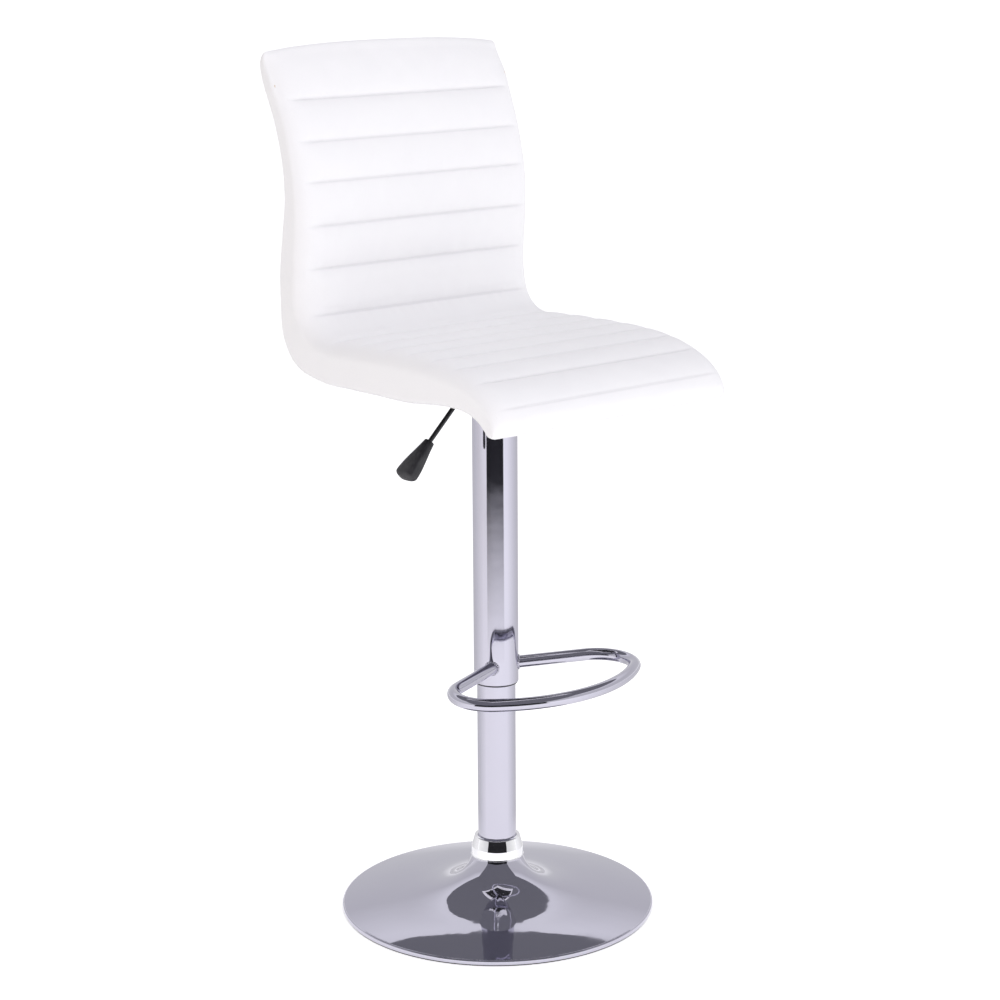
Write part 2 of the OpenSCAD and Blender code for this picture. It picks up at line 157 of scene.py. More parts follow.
def swept(name, path, radius, sides=32, up=(0, 0, 1)):
    """A round tube along a path of points, closed by a flat face at both ends."""
    path = np.asarray(path, float)
    run = np.gradient(path, axis=0)
    run /= np.linalg.norm(run, axis=1)[:, None]
    across = np.cross(run, up)
    across /= np.linalg.norm(across, axis=1)[:, None]
    third = np.cross(across, run)
    radius = np.broadcast_to(radius, len(path)).copy()
    a = np.linspace(0, 2 * np.pi, sides, endpoint=False)
    ring = np.cos(a)[None, :, None] * across[:, None] + np.sin(a)[None, :, None] * third[:, None]
    points = path[:, None] + radius[:, None, None] * ring
    faces = grid_faces(len(path), sides).tolist()
    ends = [list(range(sides)), [(len(path) - 1) * sides + k for k in range(sides)]]
    return new_mesh(name, points, faces + ends)


# %% [markdown]
# ## Finishes as expressions
#
# A finish is a small network of nodes. Written as Python expressions it reads like a formula:
# a Signal wraps one socket, and adding or multiplying Signals adds the Math nodes.
# All patterns are read from Object coordinates in metres, so they stay fixed to the parts at any pose.

# %% Signals and finishes


class Signal:
    """A number or vector that changes over a surface, held as the output socket that carries it."""

    def __init__(self, finish, socket):
        self.finish = finish
        self.socket = socket

    def math(self, operation, *values):
        return self.finish.node("ShaderNodeMath", {"operation": operation}, values)

    def __add__(self, other):
        return self.math("ADD", self, other)

    def __radd__(self, other):
        return self.math("ADD", other, self)

    def __sub__(self, other):
        return self.math("SUBTRACT", self, other)

    def __rsub__(self, other):
        return self.math("SUBTRACT", other, self)

    def __mul__(self, other):
        return self.math("MULTIPLY", self, other)

    def __rmul__(self, other):
        return self.math("MULTIPLY", other, self)


class Finish:
    """A procedural material: a Principled shader and the nodes that feed it."""

    def __init__(self, name, **sockets):
        self.material = bpy.data.materials.new(name)
        self.material.use_nodes = True
        self.tree = self.material.node_tree
        self.shader = self.tree.nodes["Principled BSDF"]
        self.place = self.node("ShaderNodeTexCoord", output="Object")
        self.set(**sockets)

    def node(self, kind, settings=None, inputs=(), output=0):
        """Adds a node, sets its settings first and then its sockets, and returns its output as a Signal."""
        made = self.tree.nodes.new(kind)
        for key, value in (settings or {}).items():
            if key == "stops":
                ramp = made.color_ramp
                for k, (position, colour) in enumerate(value):
                    stop = ramp.elements[k] if k < 2 else ramp.elements.new(position)
                    stop.position = position
                    stop.color = (*colour, 1)
            else:
                setattr(made, key, value)
        for key, value in inputs.items() if isinstance(inputs, dict) else enumerate(inputs):
            if isinstance(value, Signal):
                self.tree.links.new(value.socket, made.inputs[key])
            else:
                made.inputs[key].default_value = value
        return Signal(self, made.outputs[output])

    def set(self, **sockets):
        """Sets the shader's sockets by name, with _ for a space: values directly, Signals as links."""
        for key, value in sockets.items():
            socket = self.shader.inputs[key.replace("_", " ")]
            if isinstance(value, Signal):
                self.tree.links.new(value.socket, socket)
            elif isinstance(value, tuple):
                socket.default_value = (*value, 1)
            else:
                socket.default_value = value
        return self

    def stretched(self, scale):
        """The piece's own places, each axis multiplied by its scale."""
        return self.node("ShaderNodeMapping", {}, {"Vector": self.place, "Scale": scale})

    def noise(self, scale, detail=2.0, roughness=0.5, place=None):
        """Soft random values from 0 to 1, with features about 1/scale metres across."""
        return self.node(
            "ShaderNodeTexNoise", {},
            {"Vector": place or self.place, "Scale": scale, "Detail": detail, "Roughness": roughness},
        )

    def cells(self, scale, feature="F1", place=None):
        """Distance to the nearest of many scattered points: the pattern of pores and grain."""
        return self.node(
            "ShaderNodeTexVoronoi", {"feature": feature},
            {"Vector": place or self.place, "Scale": scale}, "Distance",
        )

    def ramp(self, value, low, high, out_low=0.0, out_high=1.0):
        """The value's stretch from low to high carried to out_low ... out_high, and held at both ends."""
        return self.node("ShaderNodeMapRange", {"clamp": True}, (value, low, high, out_low, out_high))

    def mix(self, factor, first, second):
        """One colour fading into another."""
        colours = {0: factor, 6: (*first, 1) if isinstance(first, tuple) else first,
                   7: (*second, 1) if isinstance(second, tuple) else second}
        return self.node("ShaderNodeMix", {"data_type": "RGBA"}, colours, 2)

    def bump(self, height, depth, strength=1.0):
        """A normal that tilts as the height changes; depth is the height of 1 in metres."""
        sockets = {"Strength": strength, "Distance": depth, "Height": height}
        return self.node("ShaderNodeBump", {}, sockets, "Normal")

    def attribute(self, name):
        """A value that the mesh carries at its corners."""
        return self.node("ShaderNodeAttribute", {"attribute_name": name}, output="Fac")


# %% [markdown]
# ## Metals and plastics
#
# Chrome plate is a mirror with a faint lavender grey of its own. What makes it look real is what spoils it:
# a slow ripple left by polishing, hair scratches, and a breath of haze where hands and shoes touch it.
# Zinc-plated steel is greyer and rougher. Black parts are powder coated, with a fine orange peel.

# %% Metal finishes


def chrome_finish(name, ripple_scale, bright=(0.585, 0.575, 0.655), dim=(0.55, 0.54, 0.625)):
    """Polished chrome: a mirror with slow ripple, hair scratches and patches of haze."""
    f = Finish(name, Metallic=1.0)
    haze = f.noise(9, 4)
    hair = f.noise(700, 3, 0.65, f.stretched((1.0, 1.0, 0.06)))
    specks = f.ramp(f.cells(180), 0.0, 0.07, 1.0, 0.0)
    rough = f.ramp(haze, 0.42, 0.75, 0.03, 0.09) + f.ramp(hair, 0.62, 0.8, 0.0, 0.05) + specks * 0.05
    f.set(
        Base_Color=f.mix(haze, bright, dim),
        Roughness=rough,
        Normal=f.bump(f.noise(ripple_scale, 2), 0.0006, 0.22),
    )
    return f.material


def steel_finish():
    """Bright zinc-plated steel: fine turning marks and cloudy plating."""
    f = Finish("zinc_steel", Metallic=1.0)
    cloud = f.noise(35, 4)
    marks = f.noise(900, 2, 0.6, f.stretched((1.0, 1.0, 5.0)))
    f.set(
        Base_Color=f.mix(cloud, (0.60, 0.61, 0.63), (0.70, 0.70, 0.69)),
        Roughness=f.ramp(cloud + marks * 0.3, 0.4, 0.9, 0.26, 0.44),
        Normal=f.bump(marks, 0.00008, 0.4),
    )
    return f.material


def iron_finish():
    """The ballast: rough cast iron under a thin black coat."""
    f = Finish("cast_iron", Metallic=0.3, Specular_IOR_Level=0.4)
    cast = f.noise(220, 6, 0.62)
    f.set(
        Base_Color=f.mix(f.noise(30, 3), (0.035, 0.035, 0.038), (0.075, 0.07, 0.068)),
        Roughness=f.ramp(cast, 0.3, 0.7, 0.55, 0.8),
        Normal=f.bump(cast, 0.0006, 0.6),
    )
    return f.material


def painted_finish():
    """Black powder coat: satin, with a fine orange peel and a little dust."""
    f = Finish("black_painted_steel", Coat_Weight=0.25, Coat_Roughness=0.2)
    peel = f.noise(420, 2)
    dust = f.ramp(f.noise(60, 5, 0.6), 0.55, 0.8)
    f.set(
        Base_Color=f.mix(dust, (0.014, 0.014, 0.016), (0.035, 0.034, 0.034)),
        Roughness=f.ramp(peel, 0.3, 0.7, 0.34, 0.46) + dust * 0.1,
        Normal=f.bump(peel, 0.00012, 0.45),
    )
    return f.material


def brass_finish():
    """Plain brass, with patches where handling has dulled it."""
    f = Finish("brass", Metallic=1.0)
    stain = f.noise(120, 4)
    f.set(
        Base_Color=f.mix(stain, (0.78, 0.58, 0.26), (0.62, 0.44, 0.18)),
        Roughness=f.ramp(stain, 0.3, 0.7, 0.22, 0.42),
        Normal=f.bump(stain, 0.0001, 0.3),
    )
    return f.material


# %% Plastic, rubber, wood and foam finishes


def plastic_finish():
    """Moulded black plastic: a fine spark-eroded grain, polished by hands on the high places."""
    f = Finish("black_plastic", Specular_IOR_Level=0.5)
    grain = f.cells(1500)
    wear = f.ramp(f.noise(55, 3), 0.45, 0.7)
    f.set(
        Base_Color=f.mix(wear, (0.018, 0.018, 0.022), (0.030, 0.030, 0.034)),
        Roughness=f.ramp(grain, 0.1, 0.7, 0.42, 0.55) - wear * 0.12,
        Normal=f.bump(grain, 0.00010, 0.5),
    )
    return f.material


def rubber_finish():
    """Matt black rubber with a dusty bloom."""
    f = Finish("black_rubber", Specular_IOR_Level=0.3)
    bloom = f.ramp(f.noise(70, 5, 0.6), 0.4, 0.75)
    f.set(
        Base_Color=f.mix(bloom, (0.016, 0.016, 0.017), (0.040, 0.040, 0.041)),
        Roughness=f.ramp(bloom, 0.0, 1.0, 0.62, 0.85),
        Normal=f.bump(f.noise(900, 2), 0.00015, 0.4),
    )
    return f.material


def nylon_finish():
    """Natural nylon: milky, slightly see-through, with turning marks."""
    f = Finish("natural_nylon", Subsurface_Weight=0.15, Subsurface_Scale=0.004)
    marks = f.noise(800, 2, 0.5, f.stretched((1.0, 1.0, 6.0)))
    f.set(
        Base_Color=f.mix(f.noise(60, 3), (0.82, 0.80, 0.73), (0.88, 0.87, 0.82)),
        Roughness=f.ramp(marks, 0.3, 0.7, 0.35, 0.5),
        Normal=f.bump(marks, 0.0001, 0.4),
    )
    return f.material


def plywood_finish():
    """Raw bent plywood: long grain along the board, with darker pores."""
    f = Finish("plywood", Specular_IOR_Level=0.3)
    grain = f.noise(160, 5, 0.6, f.stretched((1.0, 0.12, 0.12)))
    pores = f.ramp(f.cells(500, place=f.stretched((1.0, 0.08, 0.08))), 0.0, 0.25, 1.0, 0.0)
    f.set(
        Base_Color=f.mix(f.ramp(grain + pores * 0.2, 0.35, 0.75), (0.66, 0.47, 0.28), (0.46, 0.30, 0.16)),
        Roughness=f.ramp(grain, 0.3, 0.7, 0.55, 0.75),
        Normal=f.bump(grain, 0.0002, 0.4),
    )
    return f.material


def foam_finish():
    """Cut polyurethane foam, open-celled and cream."""
    f = Finish("foam", Sheen_Weight=0.3)
    cell = f.cells(900)
    f.set(
        Base_Color=f.mix(cell, (0.80, 0.72, 0.50), (0.93, 0.87, 0.66)),
        Roughness=f.ramp(cell, 0.0, 0.6, 0.8, 0.95),
        Normal=f.bump(cell, 0.0006, 0.6),
    )
    return f.material


# %% [markdown]
# ## White coated leather
#
# The cover is a coated leather cloth: a white film with a pressed grain of small rounded pebbles.
# The grain is made of cells about a millimetre across, broken up by noise, with finer creases between them.
# The film is a little glossier on the crowns, where it is rubbed. Its colour carries painted shade: a little
# greyer down in the sewn channels, which the mesh marks with an attribute called sewn, and a touch greyer in
# the grain's creases.

# %% Leather finish


def leather_finish():
    """White coated leather: pebble grain, fine creases, and painted shade: soft grey in the sewn channels and
    the grain's creases.
    """
    f = Finish("white_leather", Specular_IOR_Level=0.45, Coat_Roughness=0.32, Sheen_Weight=0.05)
    drift = f.noise(160, 2)
    pebbles = f.cells(1150, "SMOOTH_F1", f.place)
    creases = f.ramp(f.cells(520, "DISTANCE_TO_EDGE"), 0.0, 0.09)
    tone = f.noise(14, 3)
    sewn = f.attribute("sewn")
    grain = f.ramp(pebbles + drift * 0.25, 0.1, 0.75, 1.0, 0.0) * 0.6 + creases * 0.4
    # The unshaded tone is mixed towards grey in the sewn channels and a little in the grain's creases:
    # painted shade.
    unshaded_tone = f.mix(tone, (0.90, 0.895, 0.91), (0.93, 0.925, 0.93))
    f.set(
        Base_Color=f.mix(sewn * 0.5 + (1 - creases) * 0.10, unshaded_tone, (0.70, 0.69, 0.71)),
        Roughness=f.ramp(tone + grain * 0.3, 0.3, 0.9, 0.40, 0.52) + sewn * 0.08,
        Coat_Weight=0.12 - sewn * 0.08,
        Normal=f.bump(grain, 0.00022, 0.35),
    )
    return f.material


def thread_finish():
    """Twisted white polyester thread: fine slanting ribs."""
    f = Finish("white_thread", Sheen_Weight=0.2)
    ribs = f.noise(2600, 1, 0.5, f.stretched((1.0, 0.4, 0.4)))
    f.set(
        Base_Color=f.mix(ribs, (0.86, 0.86, 0.88), (0.96, 0.96, 0.96)),
        Roughness=f.ramp(ribs, 0.3, 0.7, 0.5, 0.7),
        Normal=f.bump(ribs, 0.0001, 0.5),
    )
    return f.material


CHROME = chrome_finish("chrome", 24)
# The collar's chrome is the same chrome with a far brighter colour: painted brightness standing in for the
# bright reflections it shows.
PAINTED_BRIGHT_CHROME = chrome_finish("painted_bright_chrome", 60, (0.94, 0.94, 0.96), (0.90, 0.90, 0.93))
STEEL = steel_finish()
PAINTED = painted_finish()
PLASTIC = plastic_finish()
RUBBER = rubber_finish()
LEATHER = leather_finish()
THREAD = thread_finish()
FINISHES = {
    "chrome": CHROME, "zinc_steel": STEEL, "cast_iron": iron_finish(), "brass": brass_finish(),
    "black_rubber": RUBBER, "natural_nylon": nylon_finish(), "black_plastic": PLASTIC,
    "black_painted_steel": PAINTED, "plywood": plywood_finish(), "foam": foam_finish(),
    "white_leather": LEATHER,
}
for part in frame["record"]["subparts"]:
    node = frame["nodes"][part["node"]]
    node.data.materials.clear()
    node.data.materials.append(FINISHES[part["material_slot"]])
print("finishes:", ", ".join(sorted(FINISHES)))

# %% [markdown]
# ## The spun base
#
# The base is one sheet of steel spun over a former: a trumpet neck that opens into a shallow dish,
# with the rim folded down round the rubber ring. What a polished dish mirrors depends on its slope far more
# than on its height, so the outline is given by its slopes, and the heights are their running sum. The fine
# rings keep the reflections smooth, which the coarse CAD surface can't do.

# %% Base shell and foot collar
shell_low, shell_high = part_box("base_shell")
BASE_R = shell_high.x
NECK_R = 33 * MM
SHELL_T = 1.5 * MM
RIM_TOP_Z = 8 * MM
RADII = np.array([33, 36, 40, 50, 60, 74, 90, 113, 130, 152, 180, 203.5]) * MM
SLOPES = [3.0, 2.4, 1.5, 0.86, 0.56, 0.335, 0.20, 0.125, 0.110, 0.127, 0.160, 0.178]


def base_outline():
    """The shell's outline: height above the rim = running sum of slope x step, from the rim inwards. The
    slope is steep at the neck, least two thirds of the way out, and a little more at the rim."""
    radius = np.linspace(NECK_R, BASE_R - SHELL_T, 170)
    window = np.hanning(11)[1:-1]
    slope = np.interp(radius, RADII, SLOPES)
    slope[4:-4] = np.convolve(slope, window / window.sum(), mode="valid")
    drop = (slope[1:] + slope[:-1]) / 2 * np.diff(radius)
    height = RIM_TOP_Z + np.append(np.cumsum(drop[::-1])[::-1], 0.0)
    top = np.vstack([(NECK_R, shell_high.z), np.stack([radius, height], -1)])
    print("the dish reaches the neck", round(height[0] / MM, 1), "mm up; the neck ends at",
          round(shell_high.z / MM, 1))
    run = np.gradient(top, axis=0)
    inwards = np.stack([run[:, 1], -run[:, 0]], -1) / np.linalg.norm(run, axis=1)[:, None]
    under = (top + SHELL_T * inwards)[::-1]
    a = np.linspace(math.radians(80), 0, 9)
    fold_r = 2.2 * MM
    fold = np.stack([BASE_R - fold_r + fold_r * np.cos(a), RIM_TOP_Z - 2.4 * MM + fold_r * np.sin(a)], -1)
    skirt = [(BASE_R, shell_low.z + 1.2 * MM), (BASE_R - 0.3 * MM, shell_low.z + 0.2 * MM),
             (BASE_R - 0.8 * MM, shell_low.z), (BASE_R - SHELL_T, shell_low.z + 0.4 * MM),
             (BASE_R - SHELL_T, 4.2 * MM)]
    return np.vstack([top, fold, skirt, under])


base = turned("spun_base", base_outline(), 256)
finish_piece(base, "base", CHROME, ["base_shell"])

collar_low, collar_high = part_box("foot_collar")
COLUMN_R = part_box("lower_column")[1].x


def collar_outline():
    """The collar: a narrow ledge round the column, a steep wall that widens downwards, hollow below."""
    foot, top = collar_low.z, collar_high.z
    bore = COLUMN_R + 0.15 * MM
    corners = [
        (bore, top - 0.4 * MM), (bore + 1.2 * MM, top), (29.6 * MM, top - 0.6 * MM),
        (33.6 * MM, top - 15 * MM), (34.4 * MM, foot + 2.0 * MM), (34.9 * MM, foot + 0.6 * MM),
        (34.6 * MM, foot),
        (33.6 * MM, foot + 0.1 * MM), (33.4 * MM, foot + 6.5 * MM), (bore, foot + 11 * MM),
    ]
    radii = np.array([0.3, 0.4, 1.4, 6.0, 1.0, 0.5, 0.3, 0.2, 0.5, 0.5]) * MM
    return rounded(corners, radii)


collar = turned("foot_trim", collar_outline(), 128)
# The collar wears the brightened chrome copy: painted brightness for its reflections.
finish_piece(collar, "base", PAINTED_BRIGHT_CHROME, ["foot_collar"])

# %% [markdown]
# ## Column tubes
#
# The lower column is a drawn 50 mm tube, and a 58 mm sleeve slides down over it, with a black bush at its
# foot that keeps the two apart. Each tube is turned with slightly rounded ends, because the cut edge of a
# plated tube always shows as a thin bright line.

# %% Lower column, sleeve and bush


TUBE_WALL = 2 * MM


def tube_outline(outer, low, high, edge):
    """The cross-cut of a tube's wall, its four corners rounded."""
    inner = outer - TUBE_WALL
    return rounded([(inner, low), (inner, high), (outer, high), (outer, low)], edge, 4)


column_low, column_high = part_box("lower_column")
column = turned("column_tube", tube_outline(column_high.x, column_low.z, column_high.z, 0.4 * MM))
finish_piece(column, "base", CHROME, ["lower_column"])

sleeve_low, sleeve_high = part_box("upper_sleeve")
SLEEVE_R = sleeve_high.x
sleeve = turned("sleeve_tube", tube_outline(SLEEVE_R, sleeve_low.z, sleeve_high.z, 0.7 * MM))
finish_piece(sleeve, "seat", CHROME, ["upper_sleeve"])

bush_low, bush_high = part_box("sleeve_bush")
BUSH_BORE = COLUMN_R + 0.3 * MM
bush_corners = [
    (BUSH_BORE, bush_high.z), (SLEEVE_R - TUBE_WALL, bush_high.z), (SLEEVE_R - TUBE_WALL, sleeve_low.z),
    (SLEEVE_R - 0.5 * MM, sleeve_low.z), (SLEEVE_R - 1.3 * MM, bush_low.z), (BUSH_BORE, bush_low.z),
]
bush = turned("glide_bush", rounded(bush_corners, np.array([0.3, 0.3, 0.2, 0.3, 0.7, 0.4]) * MM, 4))
finish_piece(bush, "seat", PLASTIC, ["sleeve_bush"])

# %% [markdown]
# ## The footrest
#
# The footrest is one bent 16 mm tube welded to the front of the sleeve: two short arms, two tight corners
# and a long front curve. Its path is made of straight lines and arcs that touch without a kink, and a circle
# is swept along it. Each arm is welded on, so a rippled bead follows the curve where arm and sleeve meet.

# %% Footrest tube and welds
rest_low, rest_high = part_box("footrest_ring")
TUBE_R = 8 * MM
REST_Z = (rest_low.z + rest_high.z) / 2
REST_HALF_W = rest_high.x - TUBE_R
REST_REACH = -rest_low.y - TUBE_R
FRONT_R = 195 * MM
CORNER_R = 48 * MM
ARM_ANGLE = math.radians(22)


def arc(centre, r, start, end, count):
    """Points on a circle in the footrest's plane, from one angle to another."""
    a = np.linspace(start, end, count)
    return np.stack([centre[0] + r * np.cos(a), centre[1] + r * np.sin(a), np.full(count, REST_Z)], -1)


def footrest_path():
    """One arm, corner and half of the front curve, then the same mirrored."""
    front_centre = np.array([0, FRONT_R - REST_REACH])
    corner_x, corner_run = REST_HALF_W - CORNER_R, FRONT_R - CORNER_R
    corner_centre = (corner_x, front_centre[1] - math.sqrt(corner_run**2 - corner_x**2))
    half = math.asin(corner_x / corner_run)
    corner = arc(corner_centre, CORNER_R, math.pi / 2 - ARM_ANGLE, half - math.pi / 2, 40)
    front = arc(front_centre, FRONT_R, half - math.pi / 2, -math.pi / 2, 50)[1:]
    inwards = np.array([-math.cos(ARM_ANGLE), math.sin(ARM_ANGLE), 0])
    arm_length = (corner[0, 0] - 0.62 * SLEEVE_R) / math.cos(ARM_ANGLE)
    arm = corner[0] + inwards * np.linspace(arm_length, 0, 24)[:, None]
    side = np.vstack([arm[:-1], corner, front])
    return np.vstack([side, (side * [-1, 1, 1])[-2::-1]]), arm[0], inwards


path, arm_end, arm_inwards = footrest_path()
footrest = swept("footrest_tube", path, TUBE_R, 40)
finish_piece(footrest, "seat", CHROME, ["footrest_ring"])


def weld_bead(side):
    """A bead along the curve where an arm meets the sleeve, its thickness rippling as a weld's does."""
    count = 96
    a = np.linspace(0, 2 * np.pi, count, endpoint=False)
    across = np.cross(arm_inwards, (0, 0, 1))
    start = arm_end - arm_inwards * 20 * MM
    ring = start + TUBE_R * (np.cos(a)[:, None] * across + np.sin(a)[:, None] * np.array([0, 0, 1.0]))
    b = ring[:, :2] @ arm_inwards[:2]
    c = (ring[:, :2] ** 2).sum(1) - SLEEVE_R**2
    where = ring + arm_inwards * (-b - np.sqrt(b * b - c))[:, None]
    size = (1.7 + 0.25 * np.sin(a * 22) + 0.15 * np.sin(a * 9 + 1)) * MM
    outwards = where * [1, 1, 0] / SLEEVE_R
    along = np.roll(where, -1, 0) - np.roll(where, 1, 0)
    along /= np.linalg.norm(along, axis=1)[:, None]
    sideways = np.cross(along, outwards)
    t = np.linspace(0, 2 * np.pi, 12, endpoint=False)[None, :, None]
    circle = np.cos(t) * outwards[:, None] + np.sin(t) * sideways[:, None]
    points = (where[:, None] + size[:, None, None] * circle) * [side, 1, 1]
    return new_mesh("weld_bead_" + ("left" if side > 0 else "right"), points, grid_faces(count, 12, True))


for side in (-1, 1):
    finish_piece(weld_bead(side), "seat", CHROME)

# %% [markdown]
# ## The seat and back: the shape under the stitching
#
# The whole upholstery is one bent pad. Its side profile is given by stations: pairs of points, one on the
# face that the sitter touches and one on the back of it. A smooth curve through all the face points and
# another through all the rear points give the pad's two skins, and a rounded section joins them at each
# station. Box-like pads look wrong because their edges are sharp and their faces flat, so the section's
# corners are broad ellipses and its faces are crowned a little.

# %% Stations and smooth curves
SEAT_UNDER_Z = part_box("seat_plate")[1].z
SEAT_HALF_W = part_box("side_panels")[1].x

STATIONS = np.array([
    [[216, 412], [216, 412]], [[206, 401], [224.5, 399]], [[183, 360], [209, 347]], [[165, 317], [194, 305]],
    [[151, 272], [183.5, 264]], [[142, 227], [181, 224]], [[141, 177], [188, 177]], [[144, 137], [194, 137]],
    [[143, 102], [195, 102]], [[136, 77], [190, 48]], [[118, 61], [166, 16]], [[92, 56], [110, 1]],
    [[50, 57], [54, 0]], [[0, 58], [0, 0]], [[-60, 58], [-62, 0]], [[-110, 56], [-104, 4]],
    [[-150, 50], [-141, 6]], [[-190, 36], [-170, 3]], [[-216, 18], [-187, -4]], [[-227, -1], [-198, -12]],
    [[-225, -14], [-205, -18]], [[-214, -20], [-214, -20]],
]) * MM


def curve_through(points, lead, trail, per_span=40):
    """A centripetal Catmull-Rom curve: passes through every point and never loops where they are uneven."""
    guides = np.vstack([lead, points, trail])
    knots = np.concatenate([[0], np.cumsum(np.sqrt(np.linalg.norm(np.diff(guides, axis=0), axis=1)))])
    spans = len(points) - 1
    i = np.append(np.repeat(np.arange(1, spans + 1), per_span), spans)
    u = np.append(np.tile(np.arange(per_span) / per_span, spans), 1.0)
    a, b, c, d = (guides[i + k] for k in (-1, 0, 1, 2))
    ta, tb, tc, td = (knots[i + k] for k in (-1, 0, 1, 2))
    t = tb + u * (tc - tb)

    def between(p, q, tp, tq):
        return ((tq - t) / (tq - tp))[:, None] * p + ((t - tp) / (tq - tp))[:, None] * q

    ab, bc, cd = between(a, b, ta, tb), between(b, c, tb, tc), between(c, d, tc, td)
    return between(between(ab, bc, ta, tc), between(bc, cd, tb, td), tb, tc)


FACE, REAR = STATIONS[:, 0], STATIONS[:, 1]
face_curve = curve_through(FACE, REAR[1], REAR[-2])
rear_curve = curve_through(REAR, FACE[1], FACE[-2])
face_run = np.concatenate([[0], np.cumsum(np.linalg.norm(np.diff(face_curve, axis=0), axis=1))])
FACE_LENGTH = face_run[-1]
print("the face runs", round(FACE_LENGTH / MM), "mm from the top edge to the front lip")

# %% [markdown]
# ## The grid of the pad
#
# Rows run along the face, and columns run round the section: across the face, round one side, across the
# rear and back round the other side. Rows are closer together beside each sewn channel, where the surface
# bends most. A section is a rectangle with elliptical corners. It is written as two parts that add up, a
# straight part that stretches with the width and thickness, and a corner part that keeps its own size.

# %% Rows, columns and the plain pad
CHANNELS = np.array([77, 132, 183, 238, 292, 349, 402, 452, 500, 545, 591, 634, 677, 726]) * MM
DEPTHS = np.array([1.0, 0.6, 0.7, 1.0, 1.0, 0.6, 1.7, 0.8, 0.9, 0.9, 0.9, 0.9, 0.8, 0.12])
FACE_EDGE, REAR_EDGE = (27 * MM, 20 * MM), (8 * MM, 7 * MM)
FACE_COLS, SIDE_COLS, CORNER_COLS, REAR_COLS = 110, 7, 11, 64
REAR_START = FACE_COLS + SIDE_COLS + 2 * CORNER_COLS


def smooth_step(x):
    """0 below 0, 1 above 1, and 3 x squared - 2 x cubed between, which is level at both ends."""
    x = np.clip(x, 0, 1)
    return x * x * (3 - 2 * x)


def rows_with_channels(step):
    """Row places along the face: even steps between channels, and a few close rows beside each one."""
    beside = np.array([-5.0, -3.4, -2.2, -1.2, -0.5, 0, 0.5, 1.2, 2.2, 3.4, 5.0]) * MM
    plain = np.linspace(0, FACE_LENGTH, round(FACE_LENGTH / step) + 1)
    far = np.abs(plain[:, None] - CHANNELS).min(1) > 6.5 * MM
    inside = (plain > 8 * MM) & (plain < FACE_LENGTH - 8 * MM)
    end = np.linspace(0, 1, 7) ** 2 * 6 * MM
    every = [(CHANNELS[:, None] + beside).ravel(), plain[far & inside], end, FACE_LENGTH - end]
    return np.unique(np.round(np.concatenate(every), 7))


def straight(start, end, corner, count):
    """Columns along a straight part of the section, from start to end, with a fixed corner part."""
    t = np.arange(count)[:, None] / count
    start, end = np.array(start), np.array(end)
    return np.hstack([start + (end - start) * t, np.broadcast_to(corner, (count, 2))])


def bend(at, first, second):
    """Columns round the corner called at: a quarter ellipse from the first direction to the second."""
    a = np.arange(CORNER_COLS)[:, None] / CORNER_COLS * math.pi / 2
    return np.hstack([np.broadcast_to(at, (CORNER_COLS, 2)), np.cos(a) * first + np.sin(a) * second])


def section_columns():
    """Unit places round the section: across and through for the straight part, then for the corner part."""
    left, right, face, rear = np.array([-1, 0]), np.array([1, 0]), np.array([0, 1]), np.array([0, -1])
    return np.vstack([
        straight((-1, 1), (1, 1), face, FACE_COLS), bend((1, 1), face, right),
        straight((1, 1), (1, -1), right, SIDE_COLS), bend((1, -1), right, rear),
        straight((1, -1), (-1, -1), rear, REAR_COLS), bend((-1, -1), rear, left),
        straight((-1, -1), (-1, 1), left, SIDE_COLS), bend((-1, 1), left, face),
    ])


def pad_frame(rows):
    """Where each row's section sits: its middle, its outward direction in side view, half its thickness."""
    index = np.interp(rows, face_run, np.arange(len(face_run)))
    k = np.arange(len(face_run))
    face = np.stack([np.interp(index, k, face_curve[:, 0]), np.interp(index, k, face_curve[:, 1])], -1)
    rear = np.stack([np.interp(index, k, rear_curve[:, 0]), np.interp(index, k, rear_curve[:, 1])], -1)
    half = np.linalg.norm(face - rear, axis=1) / 2
    outward = (face - rear) / np.maximum(2 * half, 1e-6)[:, None]
    outward[0], outward[-1] = outward[1], outward[-2]
    return (face + rear) / 2, outward, half


def pad_points(rows, columns):
    """The plain pad: x = straight part x (half width - corner radius) + corner part x radius, and likewise
    through the thickness. The width draws in at the top and lip corners, and the top edge bows down at its
    ends."""
    middle, outward, half = pad_frame(rows)
    across, through, corner_across, corner_through = columns.T
    is_rear = through < 0
    radius_x = np.where(is_rear, REAR_EDGE[0], FACE_EDGE[0])
    radius_v = np.minimum(np.where(is_rear, REAR_EDGE[1], FACE_EDGE[1]), 0.84 * half[:, None])
    to_end = np.minimum(rows, FACE_LENGTH - rows)
    plan_r = np.where(rows < FACE_LENGTH / 2, 11 * MM, 16 * MM)
    into = np.clip(1 - to_end / plan_r, 0, 1)
    half_w = (SEAT_HALF_W - 0.8 * plan_r * (1 - np.sqrt(1 - into**2)))[:, None]
    x = across * (half_w - radius_x) + corner_across * radius_x
    v = through * (half[:, None] - radius_v) + corner_through * radius_v
    points = np.concatenate([x[..., None], middle[:, None] + v[..., None] * outward[:, None]], -1)
    bow = np.abs(x / SEAT_HALF_W) ** 2.6 * smooth_step(1 - rows / (75 * MM))[:, None]
    points[..., 2] += SEAT_UNDER_Z - 9 * MM * bow
    return points


def grid_normals(points):
    """Unit normals of a grid joined round its columns: the cross product of its two directions."""
    along = np.gradient(points, axis=0)
    around = np.roll(points, -1, 1) - np.roll(points, 1, 1)
    normal = np.cross(around, along)
    return normal / np.maximum(np.linalg.norm(normal, axis=-1, keepdims=True), 1e-12)


rows = rows_with_channels(3.2 * MM)
columns = section_columns()
plain = pad_points(rows, columns)
outward = grid_normals(plain)
outward *= np.sign((outward * (plain - plain.mean(1, keepdims=True))).sum(-1, keepdims=True).mean())
print("the pad's grid is", plain.shape[:2])

